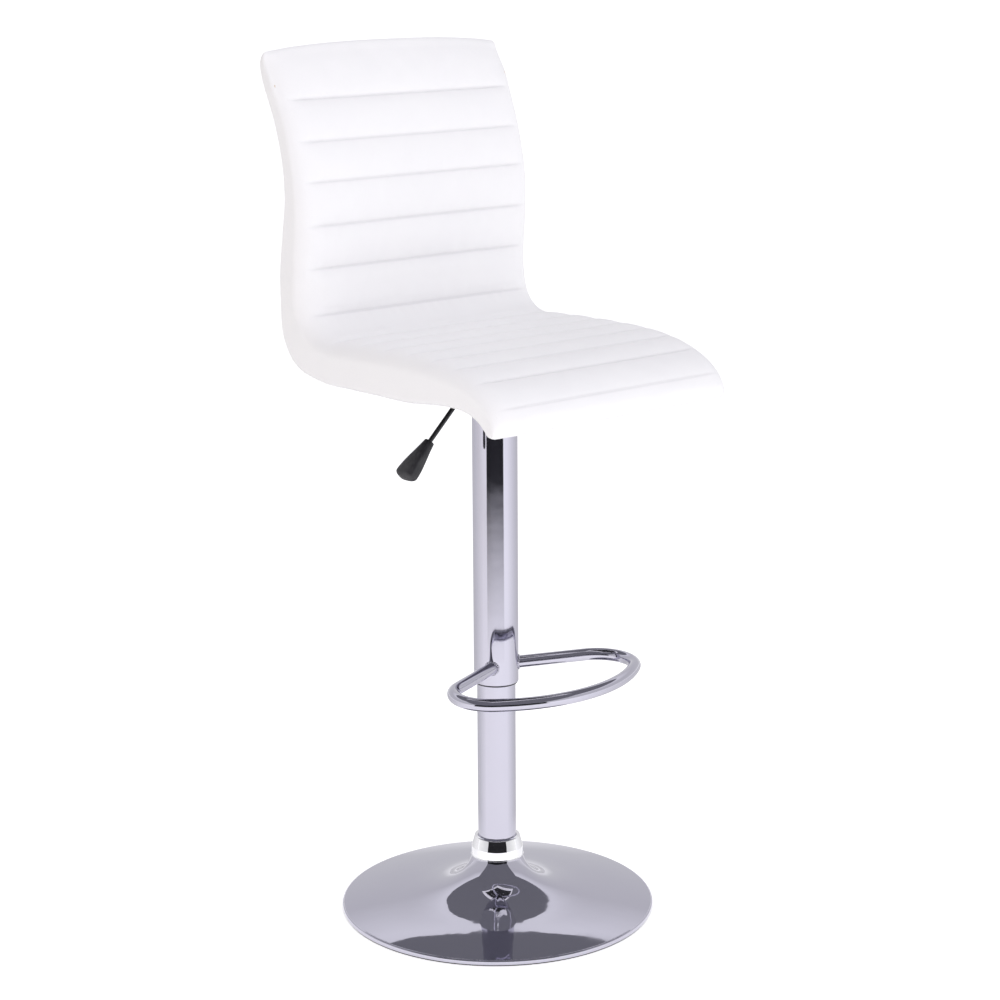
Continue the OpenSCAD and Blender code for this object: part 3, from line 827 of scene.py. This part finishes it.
# %% [markdown]
# ## Filling and sewing the pad
#
# The cover is sewn through to the foam in rows across the face, and the foam swells up between the rows.
# Cloth simulation gives that swelling: a coarse copy of the pad is blown up from inside while its sewn rows,
# rear and underside are held, and a little spare cloth lets it pucker. The ends, where the coarse grid
# shrinks to a line, are left out, because edges without length stop the solver. The outward movement is read
# back, limited, and added to the fine grid, where it meets the channels' own sharp shape. Formulas give the
# groove of each seam and the crown of each rib, so the simulation only has to fill them.

# %% Ribs, grooves and gathers by formula


def rib_marks(rows):
    """For each row: the distances to the channels before and after it, and how deep those are sewn."""
    edges = np.concatenate([[-40 * MM], CHANNELS, [FACE_LENGTH + 30 * MM]])
    depth = np.concatenate([[0.0], DEPTHS, [0.0]])
    k = np.clip(np.searchsorted(edges, rows, side="right") - 1, 0, len(edges) - 2)
    marks = (rows - edges[k], edges[k + 1] - rows, depth[k], depth[k + 1])
    return tuple(mark[:, None] for mark in marks)


def sewn_reach(x):
    """1 over the middle of the face, falling to 0 where the channels die away before the side."""
    return smooth_step((SEAT_HALF_W - 5 * MM - np.abs(x)) / (30 * MM))


def fall(distance, depth):
    """How far the cover is pulled down: a broad shoulder 8 mm wide and a narrow groove 1.9 mm wide."""
    shoulder = 2.3 * np.exp(-((distance / (8 * MM)) ** 1.4))
    groove = 1.1 * np.exp(-((distance / (1.9 * MM)) ** 2))
    return depth * (shoulder + groove)


def ribs(rows, x):
    """Height over the plain pad: flat-topped crowns that fall to a groove at each channel."""
    before, after, depth_before, depth_after = rib_marks(rows)
    pulled = np.maximum(fall(before, depth_before), fall(after, depth_after))
    return (0.4 - pulled) * MM * sewn_reach(x)


def gathers(rows, x):
    """Small folds across each seam: sums of waves along X that die away from the channel."""
    before, after, depth_before, depth_after = rib_marks(rows)
    which = np.searchsorted(CHANNELS, rows)
    waves = np.zeros((len(rows), x.shape[1]))
    for length, height in ((37, 0.30), (21, 0.26), (12.5, 0.20)):
        phase = rng.uniform(0, 2 * np.pi, (len(CHANNELS) + 1, 2))[which]
        k = 2 * np.pi / (length * MM) * rng.uniform(0.7, 1.3, len(CHANNELS) + 1)[which][:, None]
        swell = 0.6 + 0.4 * np.sin(0.31 * k * x + phase[:, 1:])
        waves += height * np.sin(k * x + phase[:, :1]) * swell
    gap = np.minimum(before, after)
    near = np.exp(-gap / (7 * MM)) * (1 - np.exp(-gap / (1.2 * MM)))
    return waves * near * np.maximum(depth_before, depth_after) * sewn_reach(x) * MM


# %% Swelling by cloth simulation


def between_places(fine, coarse):
    """The matrix that carries values at coarse places to fine places along smooth cubic curves."""
    each = np.eye(len(coarse))
    up = np.minimum(np.arange(len(coarse)) + 1, len(coarse) - 1)
    down = np.maximum(np.arange(len(coarse)) - 1, 0)
    slope = (each[up] - each[down]) / (coarse[up] - coarse[down])[:, None]
    k = np.clip(np.searchsorted(coarse, fine, side="right") - 1, 0, len(coarse) - 2)
    width = (coarse[k + 1] - coarse[k])[:, None]
    t = (fine - coarse[k])[:, None] / width
    straight_part = (1 + 2 * t) * (1 - t) ** 2 * each[k] + t * t * (3 - 2 * t) * each[k + 1]
    return straight_part + width * (t * (1 - t) ** 2 * slope[k] + t * t * (t - 1) * slope[k + 1])


FRAMES = 20


def swelling(rows, columns, limit=5 * MM):
    """Blows up a coarse pad with Blender's cloth; returns the outward movement at the fine grid's places."""
    half_ribs = (CHANNELS[:-1] + CHANNELS[1:]) / 2
    steps = np.concatenate([
        CHANNELS, CHANNELS - 5 * MM, CHANNELS + 5 * MM, CHANNELS - 12 * MM, CHANNELS + 12 * MM, half_ribs,
        np.array([0, 3, 8, 16, 26, 38, 51]) * MM, FACE_LENGTH - np.array([0, 3, 8, 15, 24]) * MM,
    ])
    coarse_rows = np.unique(np.round(steps, 5))
    coarse_rows = coarse_rows[np.concatenate([[True], np.diff(coarse_rows) > 2 * MM])]
    coarse_rows[-1] = FACE_LENGTH
    coarse = columns[::2]
    start = pad_points(coarse_rows, coarse)
    shortest = np.linalg.norm(start - np.roll(start, 1, axis=1), axis=-1).min(1)
    whole = np.flatnonzero(shortest > 0.2 * MM)
    first, last = whole[0], whole[-1] + 1
    start = start[first:last]
    pad = new_mesh("pad_trial", start, grid_faces(*start.shape[:2])[:, ::-1], merge=False)
    to_channel = np.abs(coarse_rows[first:last, None] - CHANNELS).min(1)[:, None]
    held = np.exp(-((to_channel / (2 * MM)) ** 2)) * sewn_reach(start[..., 0]) * (coarse[:, 3] > 0.5)
    held = np.where((coarse[:, 1] < 0) | (coarse[:, 3] < 0), 1.0, held)
    held[[0, -1]] = 1
    group = pad.vertex_groups.new(name="held")
    flat = held.ravel()
    for level in np.unique(np.round(flat, 2)):
        group.add(np.flatnonzero(np.round(flat, 2) == level).tolist(), float(level), "REPLACE")
    cloth = pad.modifiers.new("Cloth", "CLOTH")
    cloth.collision_settings.use_collision = False
    cloth.point_cache.frame_end = FRAMES
    for key, value in {
        "quality": 6, "mass": 0.3, "tension_stiffness": 12, "compression_stiffness": 12, "shear_stiffness": 4,
        "bending_stiffness": 2.0, "use_pressure": True, "uniform_pressure_force": 4, "shrink_min": -0.006,
        "vertex_group_mass": "held",
    }.items():
        setattr(cloth.settings, key, value)
    cloth.settings.effector_weights.gravity = 0
    for frame_number in range(1, FRAMES + 1):
        bpy.context.scene.frame_set(frame_number)
    shown = pad.evaluated_get(bpy.context.evaluated_depsgraph_get()).data
    moved = np.empty(len(shown.vertices) * 3)
    shown.vertices.foreach_get("co", moved)
    bpy.context.scene.frame_set(1)
    bpy.data.objects.remove(pad)
    normal = grid_normals(start)
    normal *= np.sign((normal * (start - start.mean(1, keepdims=True))).sum(-1).mean())
    out = ((moved.reshape(start.shape) - start) * normal).sum(-1).clip(0, limit)
    for _ in range(2):
        out = out / 2 + (np.roll(out, 1, axis=1) + np.roll(out, -1, axis=1)) / 4
    print("swelling: from", round(out.min() / MM, 2), "to", round(out.max() / MM, 2), "mm, mostly",
          round(np.percentile(out, 80) / MM, 2), "mm, on rows", first, "to", last, "of", len(coarse_rows))
    out = np.pad(out, ((first, len(coarse_rows) - last), (0, 0)))
    out = np.hstack([out, out[:, :1]])
    across = between_places(np.arange(len(columns)), np.arange(len(coarse) + 1) * 2)
    return between_places(rows, coarse_rows) @ out @ across.T


# %% [markdown]
# ## The finished pad
#
# The heights of ribs, folds, seams and swelling are added up, and the grid becomes one closed piece. Its sewn
# attribute is 1 in the grooves, and the leather reads it for painted shade, a greyer colour, and for its
# gloss. At the rear edge the cover meets the back panel in a plain seam, a shallow groove along one column on
# each side. The board's top corners press the sides and back out a little.

# %% Seat cushion
x = plain[..., 0]
height = ribs(rows, x) + gathers(rows, x)
on_face = smooth_step(columns[:, 3] * 2)
height = height * on_face
HALF_CORNER = CORNER_COLS // 2
REAR_SEAMS = (REAR_START - CORNER_COLS + HALF_CORNER, REAR_START + REAR_COLS + CORNER_COLS - HALF_CORNER)
from_seam = np.abs(np.arange(len(columns))[:, None] - np.array(REAR_SEAMS)).min(1)
inside_ends = smooth_step((np.minimum(rows, FACE_LENGTH - rows) - 6 * MM) / (10 * MM))[:, None]
seam_groove = np.exp(-((from_seam / 0.8) ** 2)) * inside_ends
seam_roll = np.exp(-(((from_seam - 2) / 1.2) ** 2)) * inside_ends
height = height - 0.5 * MM * seam_groove + 0.6 * MM * seam_roll
over_board = np.exp(-(((rows - 50 * MM) / (26 * MM)) ** 2))[:, None]
height = height + 2.0 * MM * over_board * (1 - on_face)
height = height + swelling(rows, columns) - 0.8 * MM * inside_ends * on_face
cushion_points = plain + height[..., None] * outward
gap = np.abs(rows[:, None] - CHANNELS).min(1)[:, None]
# sewn marks the grooves, where the leather paints shade as a greyer colour and is less glossy.
sewn = np.exp(-((gap / (1.8 * MM)) ** 2)) * sewn_reach(x) * on_face + 0.7 * seam_groove
cushion = new_mesh("seat_cushion", cushion_points, grid_faces(*plain.shape[:2]), {"sewn": sewn})
upholstery = ["front_cover", "rear_cover", "side_panels", "seat_foam"]
finish_piece(cushion, "seat", LEATHER, upholstery)

# %% [markdown]
# ## Stitches
#
# A lockstitch shows as a row of short threads, each dipping into the cover at its ends. Every stitch is the
# same small spindle: its middle line rises and falls as 1 - t squared, and both its ends are points.
# All stitches of a seam are placed at once, by reading the seam's line at evenly spaced lengths.

# %% Stitches along the channels and the rear seams


def seam_stitches(line, normals, pitch=4.4 * MM, length=3.5 * MM, thread_r=0.36 * MM):
    """Points of every stitch along a line: stitches x rings x sides x 3."""
    run = np.concatenate([[0], np.cumsum(np.linalg.norm(np.diff(line, axis=0), axis=1))])
    centres = np.arange(pitch, run[-1] - pitch, pitch)
    t = np.linspace(-1, 1, 7)
    at = (centres[:, None] + t * length / 2).ravel()
    where = np.stack([np.interp(at, run, line[:, k]) for k in range(3)], -1).reshape(-1, 7, 3)
    normal = np.stack([np.interp(at, run, normals[:, k]) for k in range(3)], -1).reshape(-1, 7, 3)
    along = (where[:, -1:] - where[:, :1]) / length
    side = np.cross(along, normal)
    where = where + normal * ((0.55 * (1 - t * t) - 0.2) * MM)[None, :, None]
    size = thread_r * (1 - t**4) ** 0.5
    a = np.arange(6) * math.pi / 3
    ring = np.cos(a)[:, None] * side[:, :, None] + np.sin(a)[:, None] * normal[:, :, None]
    return where[:, :, None] + size[None, :, None, None] * ring


def stitch_piece(name, seams):
    """All the seams' stitches as one mesh."""
    points = np.concatenate(seams)
    one = grid_faces(7, 6)
    faces = (np.arange(len(points))[:, None, None] * 42 + one).reshape(-1, 4)
    return finish_piece(new_mesh(name, points, faces), "seat", THREAD)


final_normal = grid_normals(cushion_points)
final_normal *= np.sign((final_normal * outward).sum(-1, keepdims=True))
middle_cols = slice(7, FACE_COLS - 6)
channel_rows = np.searchsorted(rows, CHANNELS - 1e-6)
stitch_piece("channel_stitches", [
    seam_stitches(cushion_points[r, middle_cols], final_normal[r, middle_cols]) for r in channel_rows
])
stitch_piece("rear_stitches", [
    seam_stitches(cushion_points[12:-12, c], final_normal[12:-12, c], 5.2 * MM, 4.0 * MM) for c in REAR_SEAMS
])

# %% [markdown]
# ## The dust cloth under the seat
#
# The open underside of the board is closed with a thin black cloth of pressed fibres, stapled along its
# edges. It is stretched over the underside, so its grid is a part of the cushion's own grid, moved out a
# little.

# %% Dust cloth


def cloth_finish():
    """Pressed black fibres: a fine random mat with a dimple pattern."""
    f = Finish("dust_cloth", Sheen_Weight=0.2, Specular_IOR_Level=0.2)
    fibres = f.noise(1400, 4, 0.7)
    dimples = f.cells(420)
    f.set(
        Base_Color=f.mix(fibres, (0.012, 0.012, 0.013), (0.035, 0.035, 0.037)),
        Roughness=f.ramp(fibres, 0.3, 0.7, 0.8, 0.95),
        Normal=f.bump(fibres * 0.4 + dimples, 0.0003, 0.5),
    )
    return f.material


rear_cols = slice(REAR_START + 3, REAR_START + REAR_COLS - 3)
under_y, under_z = cushion_points[:, REAR_START + REAR_COLS // 2, 1:].T
is_low = under_z < SEAT_UNDER_Z + 12 * MM
under_rows = np.flatnonzero((under_y > -168 * MM) & (under_y < 128 * MM) & is_low)
under_rows = under_rows[under_rows > len(rows) // 3][::2]
cloth_grid = (cushion_points + 0.5 * MM * final_normal)[under_rows][:, rear_cols][:, ::2]
dust_cloth = new_mesh("dust_cloth", cloth_grid, grid_faces(*cloth_grid.shape[:2], join_cols=False))
wall = dust_cloth.modifiers.new("Solidify", "SOLIDIFY")
wall.thickness = 0.4 * MM
wall.offset = 0
finish_piece(dust_cloth, "seat", cloth_finish())

# %% [markdown]
# ## The lever
#
# A 6 mm rod runs out from the valve, through its pivot under the seat, and bends down to the grip.
# The bend is a true arc, because a rod bent cold never has a corner. The grip is a flattened paddle that
# widens towards its end: its sections are squarish ovals, and a fine ridge shows where the mould parted.

# %% Lever rod, pivot boss and grip
pin_low, pin_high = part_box("lever_pivot_pin")
PIVOT = np.array([(pin_low.x + pin_high.x) / 2, 0, (pin_low.z + pin_high.z) / 2])
ROD_INNER_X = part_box("lever_rod")[1].x - 0.2 * MM
ROD_R = 3 * MM
BEND_X = -50 * MM
BEND_R = 11 * MM
DROP = math.radians(44)
GRIP_START = 79 * MM
GRIP_LENGTH = 58 * MM
DOWN = np.array([-math.cos(DROP), 0, -math.sin(DROP)])


def lever_path():
    """Straight out, round the bend, and straight down to inside the grip."""
    corner = np.array([BEND_X, 0, PIVOT[2]])
    reach = BEND_R * math.tan(DROP / 2)
    level = np.linspace(ROD_INNER_X, BEND_X + reach, 12)
    first = np.stack([level, 0 * level, np.full(12, PIVOT[2])], -1)
    a = np.linspace(0, DROP, 14)[1:]
    centre = np.array([BEND_X + reach, 0, PIVOT[2] - BEND_R])
    turn = centre + BEND_R * np.stack([-np.sin(a), 0 * a, np.cos(a)], -1)
    last = corner + DOWN * np.linspace(reach + 1 * MM, GRIP_START + 30 * MM, 20)[:, None]
    return np.vstack([first, turn, last])


rod = swept("lever_bar", lever_path(), ROD_R, 24, up=(0, 1, 0))
finish_piece(rod, "lever", PAINTED, ["lever_rod"])

boss_half = 4.5 * MM
boss_in, boss_out = 2.1 * MM, 5.5 * MM
boss_corners = [(boss_in, boss_half), (boss_out, boss_half), (boss_out, -boss_half), (boss_in, -boss_half)]
boss = turned("lever_boss", rounded(boss_corners, 0.5 * MM), 48)
boss_points = np.empty(len(boss.data.vertices) * 3)
boss.data.vertices.foreach_get("co", boss_points)
boss.data.vertices.foreach_set("co", (boss_points.reshape(-1, 3)[:, [0, 2, 1]] + PIVOT).ravel())
boss.data.flip_normals()
finish_piece(boss, "lever", PAINTED)


def grip_points(count=90, sides=72):
    """Sections along the grip: half widths follow smooth curves, and each section is a squarish oval whose
    power is 2 at the neck and 3.4 at the paddle. The end is closed by an elliptical dome."""
    near_end = np.sin(np.linspace(0, 1, 25)[1:] * math.pi / 2)
    t = np.concatenate([np.linspace(0, 0.9, count - 24), 0.9 + 0.1 * near_end])
    along = [0, 0.04, 0.12, 0.35, 0.6, 0.8, 0.9, 1.0]
    half_w = np.interp(t, along, np.array([6.4, 7.4, 7.7, 10.2, 13.2, 15.1, 15.4, 14.6]) * MM)
    half_t = np.interp(t, along, np.array([6.0, 7.0, 7.2, 8.4, 9.4, 9.9, 9.7, 8.8]) * MM)
    soften = np.exp(-0.5 * (np.arange(-9, 10) / 4.0) ** 2)
    soften /= soften.sum()
    half_w = np.convolve(np.pad(half_w, 9, "edge"), soften, "valid")
    half_t = np.convolve(np.pad(half_t, 9, "edge"), soften, "valid")
    dome = np.sqrt(np.clip(1 - ((t - 0.86) / 0.14).clip(0, 1) ** 2.6, 0, 1))
    power = (2 + 1.4 * smooth_step(t / 0.7))[:, None]
    a = np.linspace(0, 2 * np.pi, sides, endpoint=False)
    c, s = np.cos(a), np.sin(a)
    size = (np.abs(c) ** power + np.abs(s) ** power) ** (-1 / power)
    ridge = 0.22 * MM * np.exp(-((np.minimum(np.abs(s), 1) / 0.035) ** 2))
    w = (half_w[:, None] * size * c + ridge * np.sign(c)) * dome[:, None]
    th = half_t[:, None] * size * s * dome[:, None]
    centre = np.array([BEND_X, 0, PIVOT[2]]) + DOWN * (GRIP_START + t * GRIP_LENGTH)[:, None]
    thick = np.cross(DOWN, (0, 1, 0))
    rings = centre[:, None] + w[..., None] * np.array([0, 1, 0]) + th[..., None] * thick
    neck = centre[:1, None] + 0 * rings[:1]
    return np.concatenate([neck, rings])


grip_grid = grip_points()
grip = new_mesh("lever_paddle", grip_grid, grid_faces(*grip_grid.shape[:2]))
finish_piece(grip, "lever", PLASTIC, ["lever_grip"])

# %% [markdown]
# ## Floor and surroundings
#
# A chromed part has no look of its own: it shows what stands around it. The floor and the air are white, as
# in a photographer's tent. Past the edge of the white floor the room in front is dark, and so is its far
# wall: they draw the black stripe down the front of the sleeve. A dark ceiling, which reaches lower on the
# camera's side, draws the dark oval round the base's neck and the dark band along its front. These are seen
# only in reflections. A warm grey flag on the left isn't seen, and takes light off the seat's left side.

# %% Stage


def plain_card(name, corners, **sockets):
    """A flat stage piece with the given corners, of one plain finish."""
    mesh = bpy.data.meshes.new(name)
    mesh.from_pydata([tuple(c) for c in corners], [], [tuple(range(len(corners)))])
    card = bpy.data.objects.new(name, mesh)
    bpy.context.scene.collection.objects.link(card)
    finish = Finish(name, Roughness=0.9, Specular_IOR_Level=0.0, **sockets)
    card.data.materials.append(finish.material)
    return card, finish


CAMERA_AT = (-1.9924, -2.3177, 1.2828)
FLOOR = 60.0
plain_card(
    "floor", [(-FLOOR, -FLOOR, 0), (FLOOR, -FLOOR, 0), (FLOOR, FLOOR, 0), (-FLOOR, FLOOR, 0)],
    Base_Color=(0.9, 0.9, 0.9), Emission_Color=(1.0, 1.0, 1.0), Emission_Strength=0.45,
)


def camera_side(azimuth, distance, z):
    """A point round the stool, its azimuth in degrees counted from the camera's side."""
    a = math.atan2(CAMERA_AT[1], CAMERA_AT[0]) + math.radians(azimuth)
    return (distance * math.cos(a), distance * math.sin(a), z)


SPREAD, FAR, CEILING = 43, 9.0, 6.0
FAR_SIDE, NEAR_SIDE = math.radians(37), math.radians(14)


def disc(radius, z, count=64):
    """Corners of a level disc round the column's axis."""
    a = np.arange(count) * 2 * np.pi / count
    return np.stack([radius * np.cos(a), radius * np.sin(a), np.full(count, z)], -1)


dark_floor, floor_finish = plain_card("dark_floor", disc(FAR, 0.003), Base_Color=(0.028, 0.028, 0.031))
place = floor_finish.place
distance = floor_finish.node("ShaderNodeVectorMath", {"operation": "LENGTH"}, (place,), "Value")
to_camera = camera_side(0, 1, 0)
facing = floor_finish.node("ShaderNodeVectorMath", {"operation": "DOT_PRODUCT"}, (place, to_camera), "Value")
cosine = floor_finish.node("ShaderNodeMath", {"operation": "DIVIDE"}, (facing, distance))
edge = math.cos(math.radians(SPREAD))
stripe = floor_finish.ramp(cosine, edge - 0.02, edge + 0.02) * floor_finish.ramp(distance, 1.1, 2.5)
behind = floor_finish.ramp(cosine, 0.45, -0.85, 0.0, 0.42) * floor_finish.ramp(distance, 0.15, 0.35)
floor_finish.set(Alpha=stripe + behind)
wall_corners = [camera_side(side * SPREAD, FAR, z) for side, z in ((-1, 0), (1, 0), (1, 2.2), (-1, 2.2))]
dark_wall, _ = plain_card("dark_wall", wall_corners, Base_Color=(0.02, 0.02, 0.022))
ring = disc(1.0, CEILING)
to_side = ring[:, :2] @ np.array(to_camera[:2])
lowest = NEAR_SIDE + (FAR_SIDE - NEAR_SIDE) * np.clip((0.75 - to_side) / 0.5, 0, 1)
ring[:, :2] *= (CEILING / np.tan(lowest))[:, None]
dark_ceiling, _ = plain_card("dark_ceiling", ring, Base_Color=(0.17, 0.17, 0.185))
flag_corners = [(-2.1, y, z) for y, z in ((-1.0, 0.01), (2.6, 0.01), (2.6, 2.4), (-1.0, 2.4))]
flag, _ = plain_card("left_flag", flag_corners, Base_Color=(0.50, 0.46, 0.41))
flag.visible_camera = False
flag.visible_glossy = False
for card in (dark_floor, dark_wall, dark_ceiling):
    card.visible_camera = False
    card.visible_diffuse = False
    card.visible_shadow = False
    card.visible_transmission = False

# %% [markdown]
# ## Light
#
# The sky is a soft dome: white at the horizon, dimmest about 25 degrees up, and bright again 35 degrees up,
# which gives the base its sheen. Surfaces that face the front are brighter than those that face up. One large
# soft lamp near the camera models the roundings.

# %% World and lamps
world = bpy.data.worlds.new("tent")
bpy.context.scene.world = world
world.use_nodes = True
sky = world.node_tree
direction = sky.nodes.new("ShaderNodeTexCoord")
apart = sky.nodes.new("ShaderNodeSeparateXYZ")
fade = sky.nodes.new("ShaderNodeValToRGB")
sky.links.new(direction.outputs["Generated"], apart.inputs[0])
sky.links.new(apart.outputs["Z"], fade.inputs[0])
sky.links.new(fade.outputs[0], sky.nodes["Background"].inputs["Color"])
SKY_STOPS = [
    (0.0, (1.0, 1.0, 1.0)),
    (0.12, (0.74, 0.74, 0.75)),
    (0.42, (0.70, 0.695, 0.72)),
    (0.57, (0.96, 0.955, 0.99)),
    (1.0, (0.80, 0.795, 0.83)),
]
for k, (position, colour) in enumerate(SKY_STOPS):
    stop = fade.color_ramp.elements[k] if k < 2 else fade.color_ramp.elements.new(position)
    stop.position = position
    stop.color = (*colour, 1)


def soft_lamp(name, place, target, size, power, colour):
    """A square area lamp aimed at a point, left out of reflections."""
    data = bpy.data.lights.new(name, "AREA")
    data.size = size
    data.energy = power
    data.color = colour
    lamp = bpy.data.objects.new(name, data)
    lamp.location = place
    lamp.rotation_euler = (Vector(target) - Vector(place)).to_track_quat("-Z", "Y").to_euler()
    lamp.visible_glossy = False
    lamp.visible_camera = False
    bpy.context.scene.collection.objects.link(lamp)
    return lamp


soft_lamp("key", (-1.75, -2.6, 2.1), (0, 0, 0.7), 1.2, 21, (0.99, 0.965, 1.03))

# %% [markdown]
# ## Camera
#
# The camera stands three metres away, a little above the seat, with a long lens, so the stool's upright lines
# stay nearly parallel.

# %% Camera
camera_data = bpy.data.cameras.new("camera")
camera_data.lens = 88.744
camera_data.sensor_width = 36
camera = bpy.data.objects.new("camera", camera_data)
forward = Vector((0.6354, 0.7361, -0.2335)).normalized()
right = forward.cross(Vector((0, 0, 1))).normalized()
upward = right.cross(forward)
ROLL = math.radians(-0.332)
tilted = right * math.cos(ROLL) + upward * math.sin(ROLL)
upward = tilted.cross(forward)
turned_axes = Matrix((tilted, upward, -forward)).transposed()
camera.matrix_world = Matrix.Translation(CAMERA_AT) @ turned_axes.to_4x4()
bpy.context.scene.collection.objects.link(camera)
bpy.context.scene.camera = camera
bpy.context.scene.view_settings.view_transform = "Standard"
